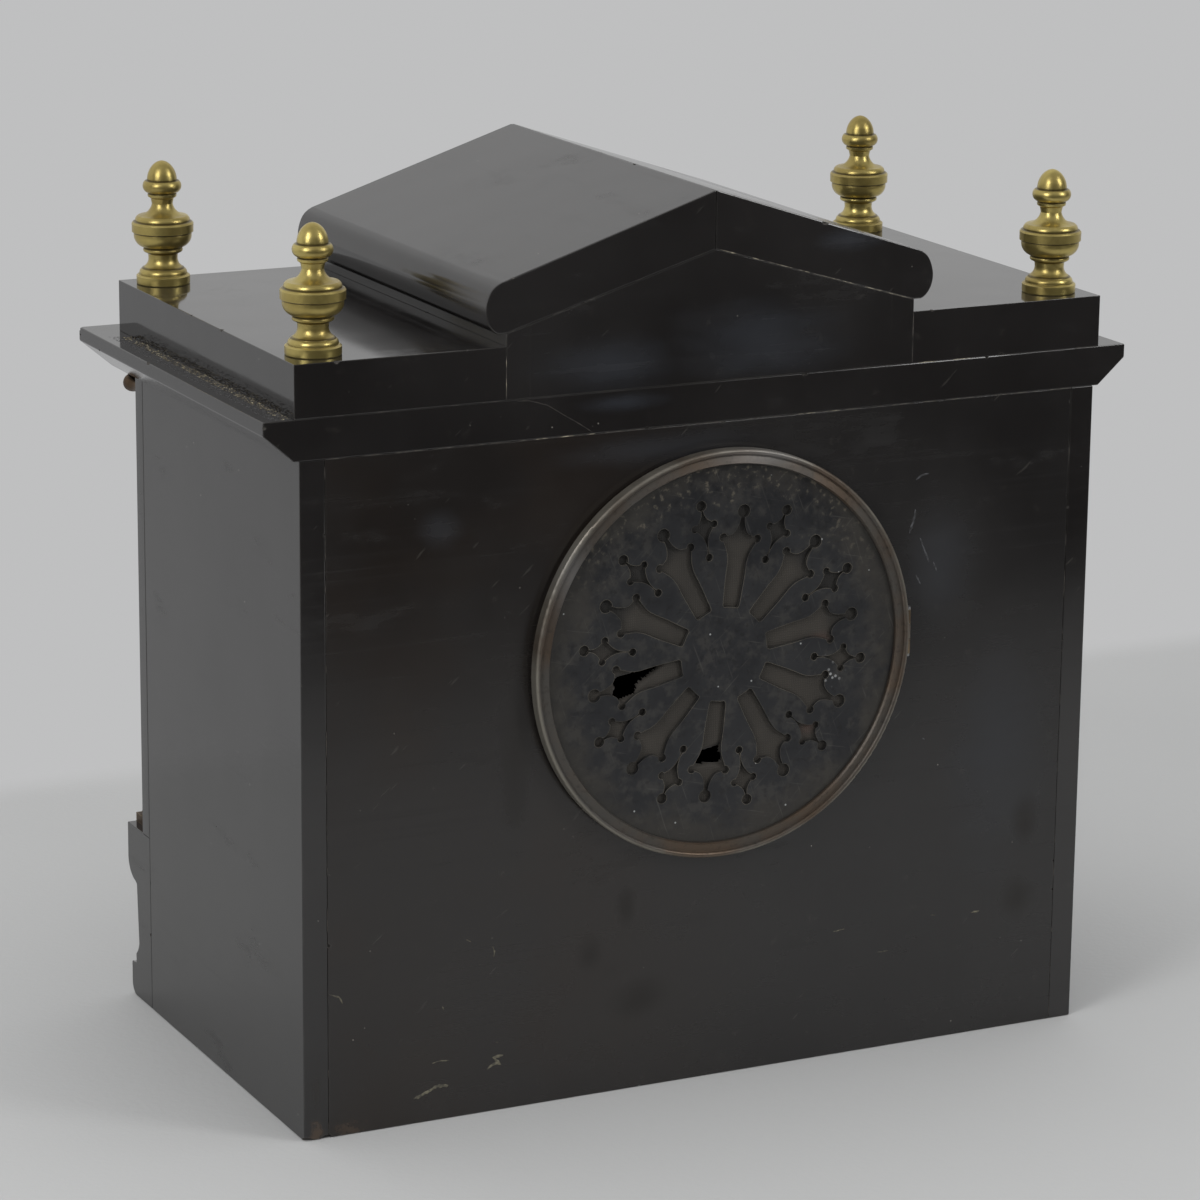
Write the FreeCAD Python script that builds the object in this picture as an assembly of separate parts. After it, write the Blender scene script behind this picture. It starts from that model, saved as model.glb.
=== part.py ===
import FreeCAD, Part
import math
import os

# A mantel clock of polished black slate, built like a small temple: a hollow body of slabs
# under a cornice, two attic blocks with brass finials, a gabled roof, and columns in front.
# Millimetres. The origin is the middle of the body's underside. X runs to the viewer's left
# when the clock is seen from behind, Y to the back, and Z up.

V = FreeCAD.Vector
BACKWARD = V(0, 1, 0)
UP = V(0, 0, 1)

# Fits shared by the whole clock
overrun = 2.0
running_fit = 0.1
lift_gap = 0.2
end_shake = 0.2

# Body of slabs
body_width = 260.0
body_depth = 131.0
door_head_room = 7.6
side_slab = 7.7
front_slab = 6.3
back_slab = 8.0
base_slab = 9.0

# Cornice, flush at the back
cornice_thickness = 12.1
cornice_bevel_height = 8.0
cornice_lip = 1.7
cornice_overhang = 10.8
cornice_front_lip = 15.0
cornice_front_overhang = 19.1

# Attic blocks and gabled centre
attic_height = 15.6
attic_side_overhang = 1.4
attic_front_overhang = 9.0
gable_half_width = 66.4
gable_wall = 7.5
gable_wall_height = 19.3
gable_front_overhang = 8.5
gable_rise = 19.5
roof_thickness = 17.3
eave_reach = 6.5
eave_height = 15.1
eave_shares = (
    (0.40, 0), (0.69, 0.086), (0.908, 0.238), (1, 0.449), (0.892, 0.680), (0.692, 0.842), (0.385, 0.947),
    (0.077, 1),
)

# Plinth in front of the body, with a ledge for the columns
plinth_height = 56.1
plinth_to_bezel = 18.4
plinth_reach = 13.4
plinth_foot_reach = 11.4
plinth_foot_height = 10.5
plinth_foot_round = 3.8
plinth_die_reach = 4.8
plinth_die_top_reach = 6.1
plinth_cove_reach = 7.6
plinth_cove_height = 4.2
plinth_cove_top = 18.4
plinth_die_top = 37.5
plinth_ovolo_height = 7.1
plinth_ovolo_step = 1.3

# Columns
column_inset = 9.0
shaft_foot_radius = 5.0
shaft_top_radius = 4.4
column_base_margin = 1.0
column_base_height = 9.5
column_cap_height = 15.0
column_cap_margin = 0.2
scroll_radius = 2.8
column_base_shares = (
    (0, 0.30), (0.50, 0.30), (0.50, 0.42), (0.46, 0.62), (0.38, 0.66), (0.38, 0.72),
    (0.44, 0.86), (0.40, 1), (0, 1),
)
column_cap_shares = (
    (0, 0), (0.36, 0), (0.40, 0.08), (0.34, 0.14), (0.34, 0.34), (0.47, 0.62), (0.47, 0.84), (0, 0.84),
)
abacus_share = 0.16
scroll_spread_share = 0.39

# Finials: shares of the foot's width against shares of the height, with a pair of points for an
# arc and a list for a smooth curve
finial_height = 37.4
finial_width = 16.2
finial_inset = 10.9
finial_back_inset = 12.2
finial_front_inset = 9.6
finial_stud_radius = 2.0
finial_stud_length = 9.0
finial_shares = (
    (0, 0), (0.488, 0), (0.5, 0.008), (0.5, 0.067), (0.469, 0.078), (0.444, 0.080),
    ((0.441, 0.102), (0.401, 0.123)), (0.389, 0.131), ((0.302, 0.163), (0.272, 0.209)),
    (0.278, 0.241), (0.321, 0.257), ((0.370, 0.275), (0.346, 0.294)), (0.364, 0.299),
    ((0.494, 0.337), (0.537, 0.417)), (0.574, 0.425), (0.577, 0.492), (0.556, 0.505),
    (0.512, 0.513), ((0.500, 0.537), (0.457, 0.556)), ((0.259, 0.594), (0.194, 0.652)),
    (0.216, 0.695), (0.265, 0.709), (0.272, 0.727), (0.253, 0.738), ((0.360, 0.791), (0.321, 0.837)),
    (0.278, 0.842), [(0.265, 0.888), (0.216, 0.938), (0.120, 0.982), (0, 1)],
)

# Back door: a brass frame ring with a pierced plate backed by silk
door_offset = 3.3
door_rim = 6.3
door_ring_thickness = 3.6
door_bead_width = 1.7
door_bead_height = 0.8
door_lip = 4.5
door_rebate = 2.8
door_plate_thickness = 1.0
door_silk_thickness = 0.4
door_lip_depth = 1.9
back_flange_thickness = 1.2
back_flange_inset = 0.8
strap_to_tube = 7.5
back_tube_wall = 1.5
back_hole_clearance = 0.3
lug_half_height = 4.0
lug_thickness = 2.2
catch_length = 5.0
catch_thickness = 0.8
catch_half_width = 4.0
catch_play = 0.4
catch_turn_deg = 18.0

# Pierced pattern of the plate
petal_count = 10
pattern_turn_deg = 7.6
petal_neck = 41.0
petal_neck_width = 1.4
petal_dot_place = 43.3
petal_dot_radius = 2.0
petal_cusp_place = 35.6
petal_cusp_turn_deg = 9.15
petal_cusp_radius = 1.25
petal_width_shares = ((0.349, 0.14), (0.358, 0.29), (0.39, 0.32), (0.61, 0.36), (0.78, 0.48), (0.868, 0.62))
petal_width = 8.8
petal_shoulder_shares = ((0.885, 0.34), (0.935, 0.15))
cross_outer_place = 46.4
cross_outer_radius = 1.6
cross_inner_place = 30.5
cross_inner_radius = 1.15
cross_side_place = 40.2
cross_side_turn_deg = 4.55
cross_side_radius = 1.1
cross_neck_width = 1.0
cross_waist_width = 2.8
cross_waist_rise = 1.7
cross_waist_drop = 2.6

# Hinges of the back door and of the dial glass
hinge_offset = 0.6
hinge_rise = 1.8
knuckle_radius = 1.2
knuckle_length = 4.4
knuckle_gap = 0.25
hinge_pin_radius = 0.55
hinge_pin_head = 0.8
hinge_leaf_thickness = 1.0
hinge_leaf_length = 2.6
hinge_notch = 0.35

# Dial, its fixed ring, and the hinged glass
strap_to_dial = 1.8
dial_thickness = 1.6
dial_inset = 0.7
dial_back_thickness = 1.2
dial_ring_gap = 0.2
dial_ring_wall = 1.5
dial_ring_depth = 7.0
dial_flange_inset = 0.8
dial_flange_thickness = 1.5
bezel_width = 8.0
bezel_cover = 2.4
bezel_depth = 7.3
bezel_edge = 2.8
bezel_lip = 2.0
bezel_round_share = 0.45
glass_thickness = 1.8
glass_bevel = 5.0
glass_bevel_drop = 0.8
dial_foot_radius = 1.5
dial_foot_inset = 5.0
dial_centre_hole = 3.8
winding_hole = 3.4

# Hands, set at nine minutes past ten
shown_hour = 10
shown_minute = 9
hour_hand_gap = 21.0
minute_hand_gap = 7.0
hand_width = 2.2
hand_ring_radius = 3.3
hand_tip_width = 0.5
hand_thickness = 0.7
hand_tail = 6.0
hand_gap = 1.2
hand_ring_share = 0.68

# Movement plates
motion_space = 7.0
plate_margin = 1.5
plate_thickness = 1.8
plate_gap = 28.0
pillar_radius = 2.2
pillar_waist = 1.6
pillar_pivot = 1.3
pillar_inset = 3.8
pillar_upper_deg = 31.5
pillar_lower_deg = -71.0
pillar_pin = 1.8
arbor_radius = 0.95
pivot_radius = 0.6
fine_arbor_radius = 0.6
fine_pivot_radius = 0.4

# Wheel teeth: places across one tooth against rise from the pitch circle in modules
tooth_shares = ((-0.28, -1.25), (-0.07, 0.95), (0.07, 0.95), (0.28, -1.25))
leaf_shares = ((-0.15, -1.35), (-0.15, 0), (-0.06, 0.55), (0.06, 0.55), (0.15, 0), (0.15, -1.35))
wheel_thickness = 1.2
pinion_length = 2.4
wheel_rim = 1.8
wheel_hub = 3.0
wheel_arms = 5
wheel_arm_width = 1.3
small_hub = 2.0

# Barrels with their mainsprings and winding arbors
barrel_gap = 1.1
barrel_drop = 16.0
barrel_teeth = 84
barrel_module = 0.44
barrel_wheel_level = 22.0
barrel_wheel_thickness = 1.6
drum_inset = 3.48
drum_wall = 0.9
drum_depth = 13.4
winding_arbor_radius = 2.2
winding_pivot_radius = 1.5
winding_square = 2.8
spring_strip = 0.45
spring_turns = 8
spring_seat_gap = 0.3
spring_margin = 0.5
ratchet_radius = 6.5
ratchet_teeth = 18
ratchet_tooth = 1.1
ratchet_thickness = 1.2
ratchet_lift = 0.5
click_gap = 0.4
click_length = 7.0
click_width = 2.4
click_thickness = 1.6
click_screw_radius = 1.6

# Going train
second_teeth = 72
second_leaves = 12
second_module = 0.44
second_level = 4.2
centre_teeth = 84
centre_leaves = 8
centre_module = 0.36
centre_level = 1.8
third_teeth = 84
third_leaves = 7
third_module = 0.28
third_level = 20.0
third_turn_deg = 100.0
escape_leaves = 7
escape_teeth = 36
escape_radius = 8.5
escape_tooth = 1.7
escape_level = 12.0
escape_tooth_shares = ((0, 0), (0.10, 1), (0.22, 1), (0.55, 0))
anchor_gap = 1.0
anchor_width = 1.6
anchor_half_span_deg = 54.0
anchor_arbor_rise = 13.0
anchor_hub = 1.9
anchor_thickness = 1.4

# Motion work under the dial
cannon_leaves = 12
motion_module = 0.4
minute_teeth = 36
minute_leaves = 10
hour_teeth = 40
motion_lift = 1.0
motion_thickness = 1.1
hour_wheel_lift = 2.8
cannon_wall = 0.6
hour_pipe_wall = 0.8

# Pendulum, crutch and the cock that carries them
crutch_lift = 1.2
crutch_length = 28.0
crutch_width = 2.4
crutch_finger_radius = 0.7
crutch_play = 0.2
cock_half_width = 9.5
cock_leg = 3.0
cock_lift = 3.2
cock_plate = 1.2
cock_height = 9.0
cock_drop = 4.5
jaw_half_width = 2.5
jaw_height = 5.0
jaw_reach = 5.8
suspension_length = 8.0
suspension_strip = 0.2
suspension_width = 4.0
suspension_gap = 0.1
pendulum_lift = 7.2
pendulum_foot_gap = 24.0
pendulum_hook_height = 4.0
pendulum_hook_side = 3.4
pendulum_rod_radius = 1.1
bob_radius = 14.0
bob_thickness = 7.0
bob_edge = 1.4
rating_nut_radius = 3.0
rating_nut_height = 2.2
rod_tail = 5.0

# Strike train
strike_second_turn_deg = 100.0
strike_second_teeth = 72
strike_second_module = 0.37
pin_wheel_leaves = 8
pin_wheel_teeth = 70
pin_wheel_module = 0.30
pin_wheel_level = 9.0
pin_wheel_turn_deg = 70.0
lifting_pins = 10
lifting_pin_place = 8.6
lifting_pin_radius = 0.45
lifting_pin_length = 2.5
locking_leaves = 7
locking_teeth = 54
locking_module = 0.30
locking_level = 15.5
locking_turn_deg = 50.0
fly_leaves = 7
fly_turn_deg = 115.0
fly_level = 2.2
fly_width = 6.0
fly_half_length = 6.8
fly_thickness = 0.5
count_wheel_radius = 12.0
count_wheel_notch = 1.8
count_wheel_lift = 1.4
count_wheel_hub = 3.2
count_wheel_strokes = 90
hours_on_dial = 12

# Hammer, bell and bell stand
bell_radius = 33.0
bell_drop = 4.0
bell_depth = 20.0
bell_wall = 1.6
bell_lift = 11.4
bell_crown_share = 0.60
bell_shoulder_share = 0.93
bell_screw_radius = 1.6
bell_nut_radius = 3.2
bell_nut_height = 2.2
stand_clearance = 5.6
stand_turn_deg = -55.0
stand_radius = 2.0
stand_foot_radius = 3.6
stand_foot_height = 1.6
stand_arm_width = 5.0
stand_arm_thickness = 1.8
hammer_inset = 5.0
hammer_drop = 2.0
hammer_turn_deg = 140.2
hammer_gap = 0.6
hammer_head_radius = 2.5
hammer_head_length = 6.0
hammer_arm_radius = 0.9
hammer_arbor_radius = 1.3
hammer_pivot_radius = 0.8
hammer_tail_width = 1.6
hammer_tail_gap = 0.4

# Straps and long screws that clamp the case between the two rings
strap_clearance = 2.2
strap_thickness = 1.4
strap_half_height = 5.0
strap_length = 80.0
strap_tab_reach = 5.4
strap_tab_thickness = 1.6
strap_screw_inset = 1.4
strap_screw_radius = 1.3
strap_screw_head = 2.6
strap_screw_head_height = 1.4
strap_screw_slot = 0.7
strap_front_gap = 0.6

# The movement settles the plates, and the plates settle the rings, the dial and the case's height
great_wheel_tip = barrel_module * (barrel_teeth / 2 + tooth_shares[1][1])
barrel_x = great_wheel_tip + barrel_gap
drum_radius = barrel_module * barrel_teeth / 2 - drum_inset
plate_radius = math.hypot(barrel_x, barrel_drop) + great_wheel_tip + plate_margin
pillar_place = plate_radius - pillar_inset
dial_foot_place = plate_radius - dial_foot_inset
hammer_x = hammer_inset - plate_radius
strap_place = plate_radius + strap_clearance
dial_radius = strap_place + strap_to_dial
hour_hand_length = dial_radius - hour_hand_gap
minute_hand_length = dial_radius - minute_hand_gap
bezel_radius = dial_radius + bezel_width
bezel_sight_radius = dial_radius - bezel_cover
back_tube_radius = strap_place + strap_to_tube
door_radius = back_tube_radius + door_rim
column_base_side = plinth_reach - column_base_margin
column_cap_side = plinth_reach - column_cap_margin
dial_height = plinth_height + plinth_to_bezel + bezel_radius
body_height = dial_height + door_radius + door_head_room

# Levels and places worked out from the sizes above
front_y = -body_depth / 2
back_y = body_depth / 2
half_width = body_width / 2
cornice_top = body_height + cornice_thickness
attic_top = cornice_top + attic_height
eave_z = cornice_top + gable_wall_height
apex_z = eave_z + gable_rise
ridge_z = apex_z + roof_thickness
gable_front_y = front_y - gable_front_overhang
dial_face_y = front_y + dial_inset
dial_back_y = dial_face_y + dial_thickness
dial_plate_y = dial_back_y + dial_back_thickness
plate_front_y = dial_plate_y + motion_space
inner_front_y = plate_front_y + plate_thickness
inner_back_y = inner_front_y + plate_gap
plate_back_y = inner_back_y + plate_thickness
pendulum_y = plate_back_y + pendulum_lift
bell_mouth_y = plate_back_y + bell_lift
door_back_y = back_y + back_flange_thickness + lift_gap
arbor_front_y = inner_front_y + end_shake
arbor_back_y = inner_back_y - end_shake
spring_inner = winding_arbor_radius + spring_seat_gap + spring_strip / 2
spring_outer = drum_radius - drum_wall - spring_seat_gap - spring_strip / 2
spring_pitch = (spring_outer - spring_inner) / spring_turns

os.makedirs("parts", exist_ok=True)


def save(name, *solids):
    """Write one node. Several solids go in as a group of separate solids."""
    shape = solids[0] if len(solids) == 1 else Part.makeCompound(list(solids))
    shape.exportStep("parts/" + name + ".step")


def box(x0, x1, y0, y1, z0, z1):
    return Part.makeBox(x1 - x0, y1 - y0, z1 - z0, V(x0, y0, z0))


def rod(x, z, radius, y0, y1):
    """A round bar along Y."""
    return Part.makeCylinder(radius, y1 - y0, V(x, y0, z), BACKWARD)


def tube(x, z, inner, outer, y0, y1):
    """A round tube along Y."""
    return rod(x, z, outer, y0, y1).cut(rod(x, z, inner, y0 - overrun, y1 + overrun))


def bored(solid, place, radius, y0, y1):
    """Drill a round hole along Y, right through from y0 to y1."""
    return solid.cut(rod(*place, radius, y0 - overrun, y1 + overrun))


def outline(points, place):
    """A closed face. A pair ends a straight line, two pairs are an arc's middle and end,
    and a list of pairs is a smooth curve through them."""
    edges = []
    here = points[0]
    for point in list(points[1:]) + [points[0]]:
        if isinstance(point, list):
            curve = Part.BSplineCurve()
            curve.interpolate([place(*here)] + [place(*pair) for pair in point])
            edges.append(curve.toShape())
            here = point[-1]
        elif isinstance(point[0], tuple):
            middle, end = point
            edges.append(Part.Arc(place(*here), place(*middle), place(*end)).toShape())
            here = end
        elif place(*here).distanceToPoint(place(*point)) > 0:
            edges.append(Part.makeLine(place(*here), place(*point)))
            here = point
    return Part.Face(Part.Wire(edges))


def slab_along_y(points, y0, y1):
    """An outline in X and Z, carried from y0 to y1."""
    return outline(points, lambda x, z: V(x, y0, z)).extrude(V(0, y1 - y0, 0))


def slab_along_x(points, x0, x1):
    """An outline in Y and Z, carried from x0 to x1."""
    return outline(points, lambda y, z: V(x0, y, z)).extrude(V(x1 - x0, 0, 0))


def turned_on_y(points, x, z):
    """A piece turned about an axis along Y, from radius and Y."""
    return outline(points, lambda r, y: V(x + r, y, z)).revolve(V(x, 0, z), BACKWARD, 360)


def turned_on_z(points, x, y):
    """A piece turned about an upright axis, from radius and Z."""
    return outline(points, lambda r, z: V(x + r, y, z)).revolve(V(x, y, 0), UP, 360)


def polar(x, z, reach, turn):
    return x + reach * math.cos(turn), z + reach * math.sin(turn)


def direction(start, end):
    return math.atan2(end[1] - start[1], end[0] - start[0])


def meeting_point(a, reach_a, b, reach_b, side):
    """The point at the two given distances from a and b, on the chosen side of the line."""
    apart = math.dist(a, b)
    along = (reach_a ** 2 - reach_b ** 2 + apart ** 2) / (2 * apart)
    off = side * math.sqrt(reach_a ** 2 - along ** 2)
    turn = direction(a, b)
    x, z = polar(*a, along, turn)
    return polar(x, z, off, turn + math.pi / 2)


def pitch_radius(teeth, module):
    return teeth * module / 2


def toothed(place, teeth, module, facing, y0, y1, shares):
    """A disc of teeth, one of them pointing along the facing angle."""
    pitch = 2 * math.pi / teeth
    points = []
    for number in range(teeth):
        for turn, rise in shares:
            reach = pitch_radius(teeth, module) + rise * module
            points.append(polar(*place, reach, facing + (number + turn) * pitch))
    return slab_along_y(points, y0, y1)


def pinion(place, leaves, module, mate, y0):
    """A pinion with a gap between two leaves where it faces its wheel."""
    facing = direction(place, mate) + math.pi / leaves
    return toothed(place, leaves, module, facing, y0, y0 + pinion_length, leaf_shares)


def crossed(wheel, place, rim, hub, y0, y1, arms=wheel_arms):
    """Saw the windows out of a wheel, leaving its arms."""
    windows = tube(*place, hub, rim, y0 - overrun, y1 + overrun)
    for number in range(arms):
        arm = box(place[0], place[0] + rim + overrun, y0 - 2 * overrun, y1 + 2 * overrun,
                  place[1] - wheel_arm_width / 2, place[1] + wheel_arm_width / 2)
        arm.rotate(V(place[0], 0, place[1]), BACKWARD, 360 * number / arms)
        windows = windows.cut(arm)
    return wheel.cut(windows)


def wheel(place, teeth, module, mate, level, hub=wheel_hub, thickness=wheel_thickness):
    """A crossed wheel with a tooth on the line to its pinion."""
    y0 = inner_front_y + level
    y1 = y0 + thickness
    disc = toothed(place, teeth, module, direction(place, mate), y0, y1, tooth_shares)
    rim = pitch_radius(teeth, module) - tooth_shares[1][1] * module - wheel_rim
    return crossed(disc, place, rim, hub, y0, y1)


def arbor(place, radius=arbor_radius, pivot=pivot_radius):
    """A steel arbor between the plates, with a pivot through each plate."""
    body = rod(*place, radius, arbor_front_y, arbor_back_y)
    return body.fuse(rod(*place, pivot, plate_front_y, plate_back_y))


def pinion_start(level, thickness=wheel_thickness):
    """A pinion reaches equally past both faces of the wheel that it meets."""
    return inner_front_y + level + (thickness - pinion_length) / 2


def fused(first, *others):
    return first.multiFuse(list(others)).removeSplitter()


# Places of the arbors, as X and Z
centre = (0.0, dial_height)
going_barrel = (barrel_x, dial_height - barrel_drop)
strike_barrel = (-barrel_x, dial_height - barrel_drop)
barrel_reach = pitch_radius(barrel_teeth, barrel_module) + pitch_radius(second_leaves, barrel_module)
second_reach = pitch_radius(second_teeth, second_module) + pitch_radius(centre_leaves, second_module)
second = meeting_point(going_barrel, barrel_reach, centre, second_reach, -1)
third_reach = pitch_radius(centre_teeth, centre_module) + pitch_radius(third_leaves, centre_module)
third = polar(*centre, third_reach, math.radians(third_turn_deg))
escape_reach = pitch_radius(third_teeth, third_module) + pitch_radius(escape_leaves, third_module)
escape_rise = math.sqrt(escape_reach ** 2 - (third[0] - centre[0]) ** 2)
escape = (centre[0], third[1] + escape_rise)
pallets = (centre[0], escape[1] + anchor_arbor_rise)
pin_reach = (pitch_radius(strike_second_teeth, strike_second_module)
             + pitch_radius(pin_wheel_leaves, strike_second_module))
locking_reach = (pitch_radius(pin_wheel_teeth, pin_wheel_module)
                 + pitch_radius(locking_leaves, pin_wheel_module))
fly_reach = pitch_radius(locking_teeth, locking_module) + pitch_radius(fly_leaves, locking_module)
strike_second = polar(*strike_barrel, barrel_reach, math.radians(strike_second_turn_deg))
pin_wheel = polar(*strike_second, pin_reach, math.radians(pin_wheel_turn_deg))
locking = polar(*pin_wheel, locking_reach, math.radians(locking_turn_deg))
fly = polar(*locking, fly_reach, math.radians(fly_turn_deg))
minute_stud_reach = pitch_radius(minute_teeth, motion_module) + pitch_radius(cannon_leaves, motion_module)
minute_stud = (centre[0], centre[1] - minute_stud_reach)
hour_module = 2 * minute_stud_reach / (hour_teeth + minute_leaves)
hammer_arbor = (hammer_x, dial_height - hammer_drop)
bell_centre = (centre[0], dial_height - bell_drop)
stand_foot = polar(*bell_centre, bell_radius + stand_clearance, math.radians(stand_turn_deg))
door_centre = (-door_offset, dial_height)


# The body: two side slabs, a front and a back slab, and the base slab between them
def build_body():
    plinth_back_y = front_y + front_slab
    left = box(half_width - side_slab, half_width, plinth_back_y, back_y, 0, body_height)
    right = box(-half_width, side_slab - half_width, plinth_back_y, back_y, 0, body_height)
    front = box(-half_width, half_width, front_y, plinth_back_y, plinth_height, body_height)
    dial_hole = dial_radius + dial_ring_gap + dial_ring_wall + back_hole_clearance
    front = bored(front, centre, dial_hole, front_y, plinth_back_y)
    inside = half_width - side_slab
    back = box(-inside, inside, back_y - back_slab, back_y, 0, body_height)
    door_hole = back_tube_radius + back_hole_clearance
    back = bored(back, door_centre, door_hole, back_y - back_slab, back_y)
    base = box(-inside, inside, plinth_back_y, back_y - back_slab, 0, base_slab)
    save("left_side_slab", left)
    save("right_side_slab", right)
    save("front_slab", front)
    save("back_slab", back)
    save("base_slab", base)


# The plinth: a moulded block along the front, whose flat top carries the columns
def build_plinth():
    ovolo_foot = plinth_die_top
    ovolo_top = plinth_die_top + plinth_ovolo_height
    ovolo_middle = (front_y - plinth_reach + plinth_ovolo_step, ovolo_foot + plinth_ovolo_height / 2)
    foot_y = front_y - plinth_foot_reach
    bevel = plinth_foot_round * (1 - math.sqrt(0.5))
    cove_middle = (front_y - (plinth_die_reach + plinth_cove_reach) / 2 + bevel / 2,
                   plinth_cove_top - plinth_cove_height / 2)
    profile = [
        (front_y + front_slab, 0),
        (foot_y + plinth_foot_round, 0),
        ((foot_y + bevel, bevel), (foot_y, plinth_foot_round)),
        (foot_y, plinth_foot_height),
        (front_y - plinth_cove_reach, plinth_foot_height + plinth_ovolo_step / 2),
        (front_y - plinth_cove_reach, plinth_cove_top - plinth_cove_height),
        (cove_middle, (front_y - plinth_die_reach, plinth_cove_top)),
        (front_y - plinth_die_top_reach, ovolo_foot),
        (front_y - plinth_die_top_reach - plinth_ovolo_step, ovolo_foot + plinth_ovolo_step / 2),
        (ovolo_middle, (front_y - plinth_reach, ovolo_top)),
        (front_y - plinth_reach, plinth_height),
        (front_y + front_slab, plinth_height),
    ]
    save("front_plinth", slab_along_x(profile, -half_width, half_width))


# The cornice: one thick slab with a bevelled underside on three sides
def build_cornice():
    def ring(z, side, front):
        corners = [V(-half_width - side, front_y - front, z), V(half_width + side, front_y - front, z),
                   V(half_width + side, back_y, z), V(-half_width - side, back_y, z)]
        return Part.makePolygon(corners + [corners[0]])

    bevel_z = body_height + cornice_bevel_height
    bevel = Part.makeLoft([ring(body_height, cornice_lip, cornice_front_lip),
                           ring(bevel_z, cornice_overhang, cornice_front_overhang)], True, True)
    upper = box(-half_width - cornice_overhang, half_width + cornice_overhang,
                front_y - cornice_front_overhang, back_y, bevel_z, cornice_top)
    save("cornice_slab", fused(bevel, upper))


# The attic: a block at each side, drilled for the finials' studs
def build_attic():
    outer = half_width + attic_side_overhang
    attic_front_y = front_y - attic_front_overhang
    for name, side in (("left_attic_block", 1), ("right_attic_block", -1)):
        ends = sorted((side * gable_half_width, side * outer))
        block = box(ends[0], ends[1], attic_front_y, back_y, cornice_top, attic_top)
        for y in finial_rows():
            hole = Part.makeCylinder(finial_stud_radius + running_fit, attic_height + 2 * overrun,
                                     V(side * (outer - finial_inset), y, cornice_top - overrun))
            block = block.cut(hole)
        save(name, block)


def finial_rows():
    return (front_y - attic_front_overhang + finial_front_inset, back_y - finial_back_inset)


# The finials: turned brass urns, each with a stud let into its block
def build_finials():
    def place(share):
        return (share[0] * finial_width, attic_top + share[1] * finial_height)

    profile = []
    for share in finial_shares:
        if isinstance(share[0], tuple):
            profile.append(type(share)(place(point) for point in share))
        else:
            profile.append(place(share))
    outer = half_width + attic_side_overhang - finial_inset
    finials = []
    for x in (outer, -outer):
        for y in finial_rows():
            urn = turned_on_z(profile, x, y)
            stud_foot = V(x, y, attic_top - finial_stud_length)
            stud = Part.makeCylinder(finial_stud_radius, finial_stud_length, stud_foot)
            finials.append(fused(urn, stud))
    save("finials", *finials)


# The gable: two side walls, a back and a front panel between them, and two roof slabs
def build_gable():
    inside = gable_half_width - gable_wall
    fall = gable_rise / gable_half_width
    wall_inner_z = eave_z + gable_wall * fall
    pieces = []
    for side in (1, -1):
        wall = [(side * gable_half_width, cornice_top), (side * gable_half_width, eave_z),
                (side * inside, wall_inner_z), (side * inside, cornice_top)]
        pieces.append(slab_along_y(wall, gable_front_y, back_y))
    panel = [(-inside, cornice_top), (-inside, wall_inner_z), (0, apex_z),
             (inside, wall_inner_z), (inside, cornice_top)]
    pieces.append(slab_along_y(panel, back_y - gable_wall, back_y))
    pieces.append(slab_along_y(panel, gable_front_y, gable_front_y + gable_wall))
    save("gable_walls", *pieces)
    for name, side in (("left_roof_slab", 1), ("right_roof_slab", -1)):
        nose = [(side * (gable_half_width + eave_reach * reach), eave_z + eave_height * rise)
                for reach, rise in eave_shares]
        slab = [(0, apex_z), (side * gable_half_width, eave_z), nose[0], nose[1:], (0, ridge_z)]
        save(name, slab_along_y(slab, gable_front_y, back_y))


# The columns: slate shafts with bronze bases and scrolled bronze capitals
def build_columns():
    column_y = front_y - plinth_reach / 2
    shaft_foot = plinth_height + column_base_height
    shaft_top = body_height - column_cap_height
    shafts, bases, caps = [], [], []
    for side in (1, -1):
        x = side * (half_width - column_inset)
        shafts.append(turned_on_z([
            (0, shaft_foot), (shaft_foot_radius, shaft_foot), (shaft_top_radius, shaft_top), (0, shaft_top),
        ], x, column_y))
        half = column_base_side / 2
        block_top = plinth_height + column_base_height * column_base_shares[0][1]
        block = box(x - half, x + half, column_y - half, column_y + half, plinth_height, block_top)
        rings = []
        for reach, rise in column_base_shares:
            rings.append((column_base_side * reach, plinth_height + column_base_height * rise))
        bases.append(fused(block, turned_on_z(rings, x, column_y)))
        basket = []
        for reach, rise in column_cap_shares:
            basket.append((column_cap_side * reach, shaft_top + column_cap_height * rise))
        half = column_cap_side / 2
        abacus_z = body_height - column_cap_height * abacus_share
        abacus = box(x - half, x + half, column_y - half, column_y + half, abacus_z, body_height)
        spread = column_cap_side * scroll_spread_share
        scroll_z = abacus_z - scroll_radius
        scrolls = [rod(scroll_x, scroll_z, scroll_radius, column_y - half, column_y + half)
                   for scroll_x in (x - spread, x + spread)]
        caps.append(fused(turned_on_z(basket, x, column_y), abacus, *scrolls))
    save("column_shafts", *shafts)
    save("column_bases", *bases)
    save("column_capitals", *caps)


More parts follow.
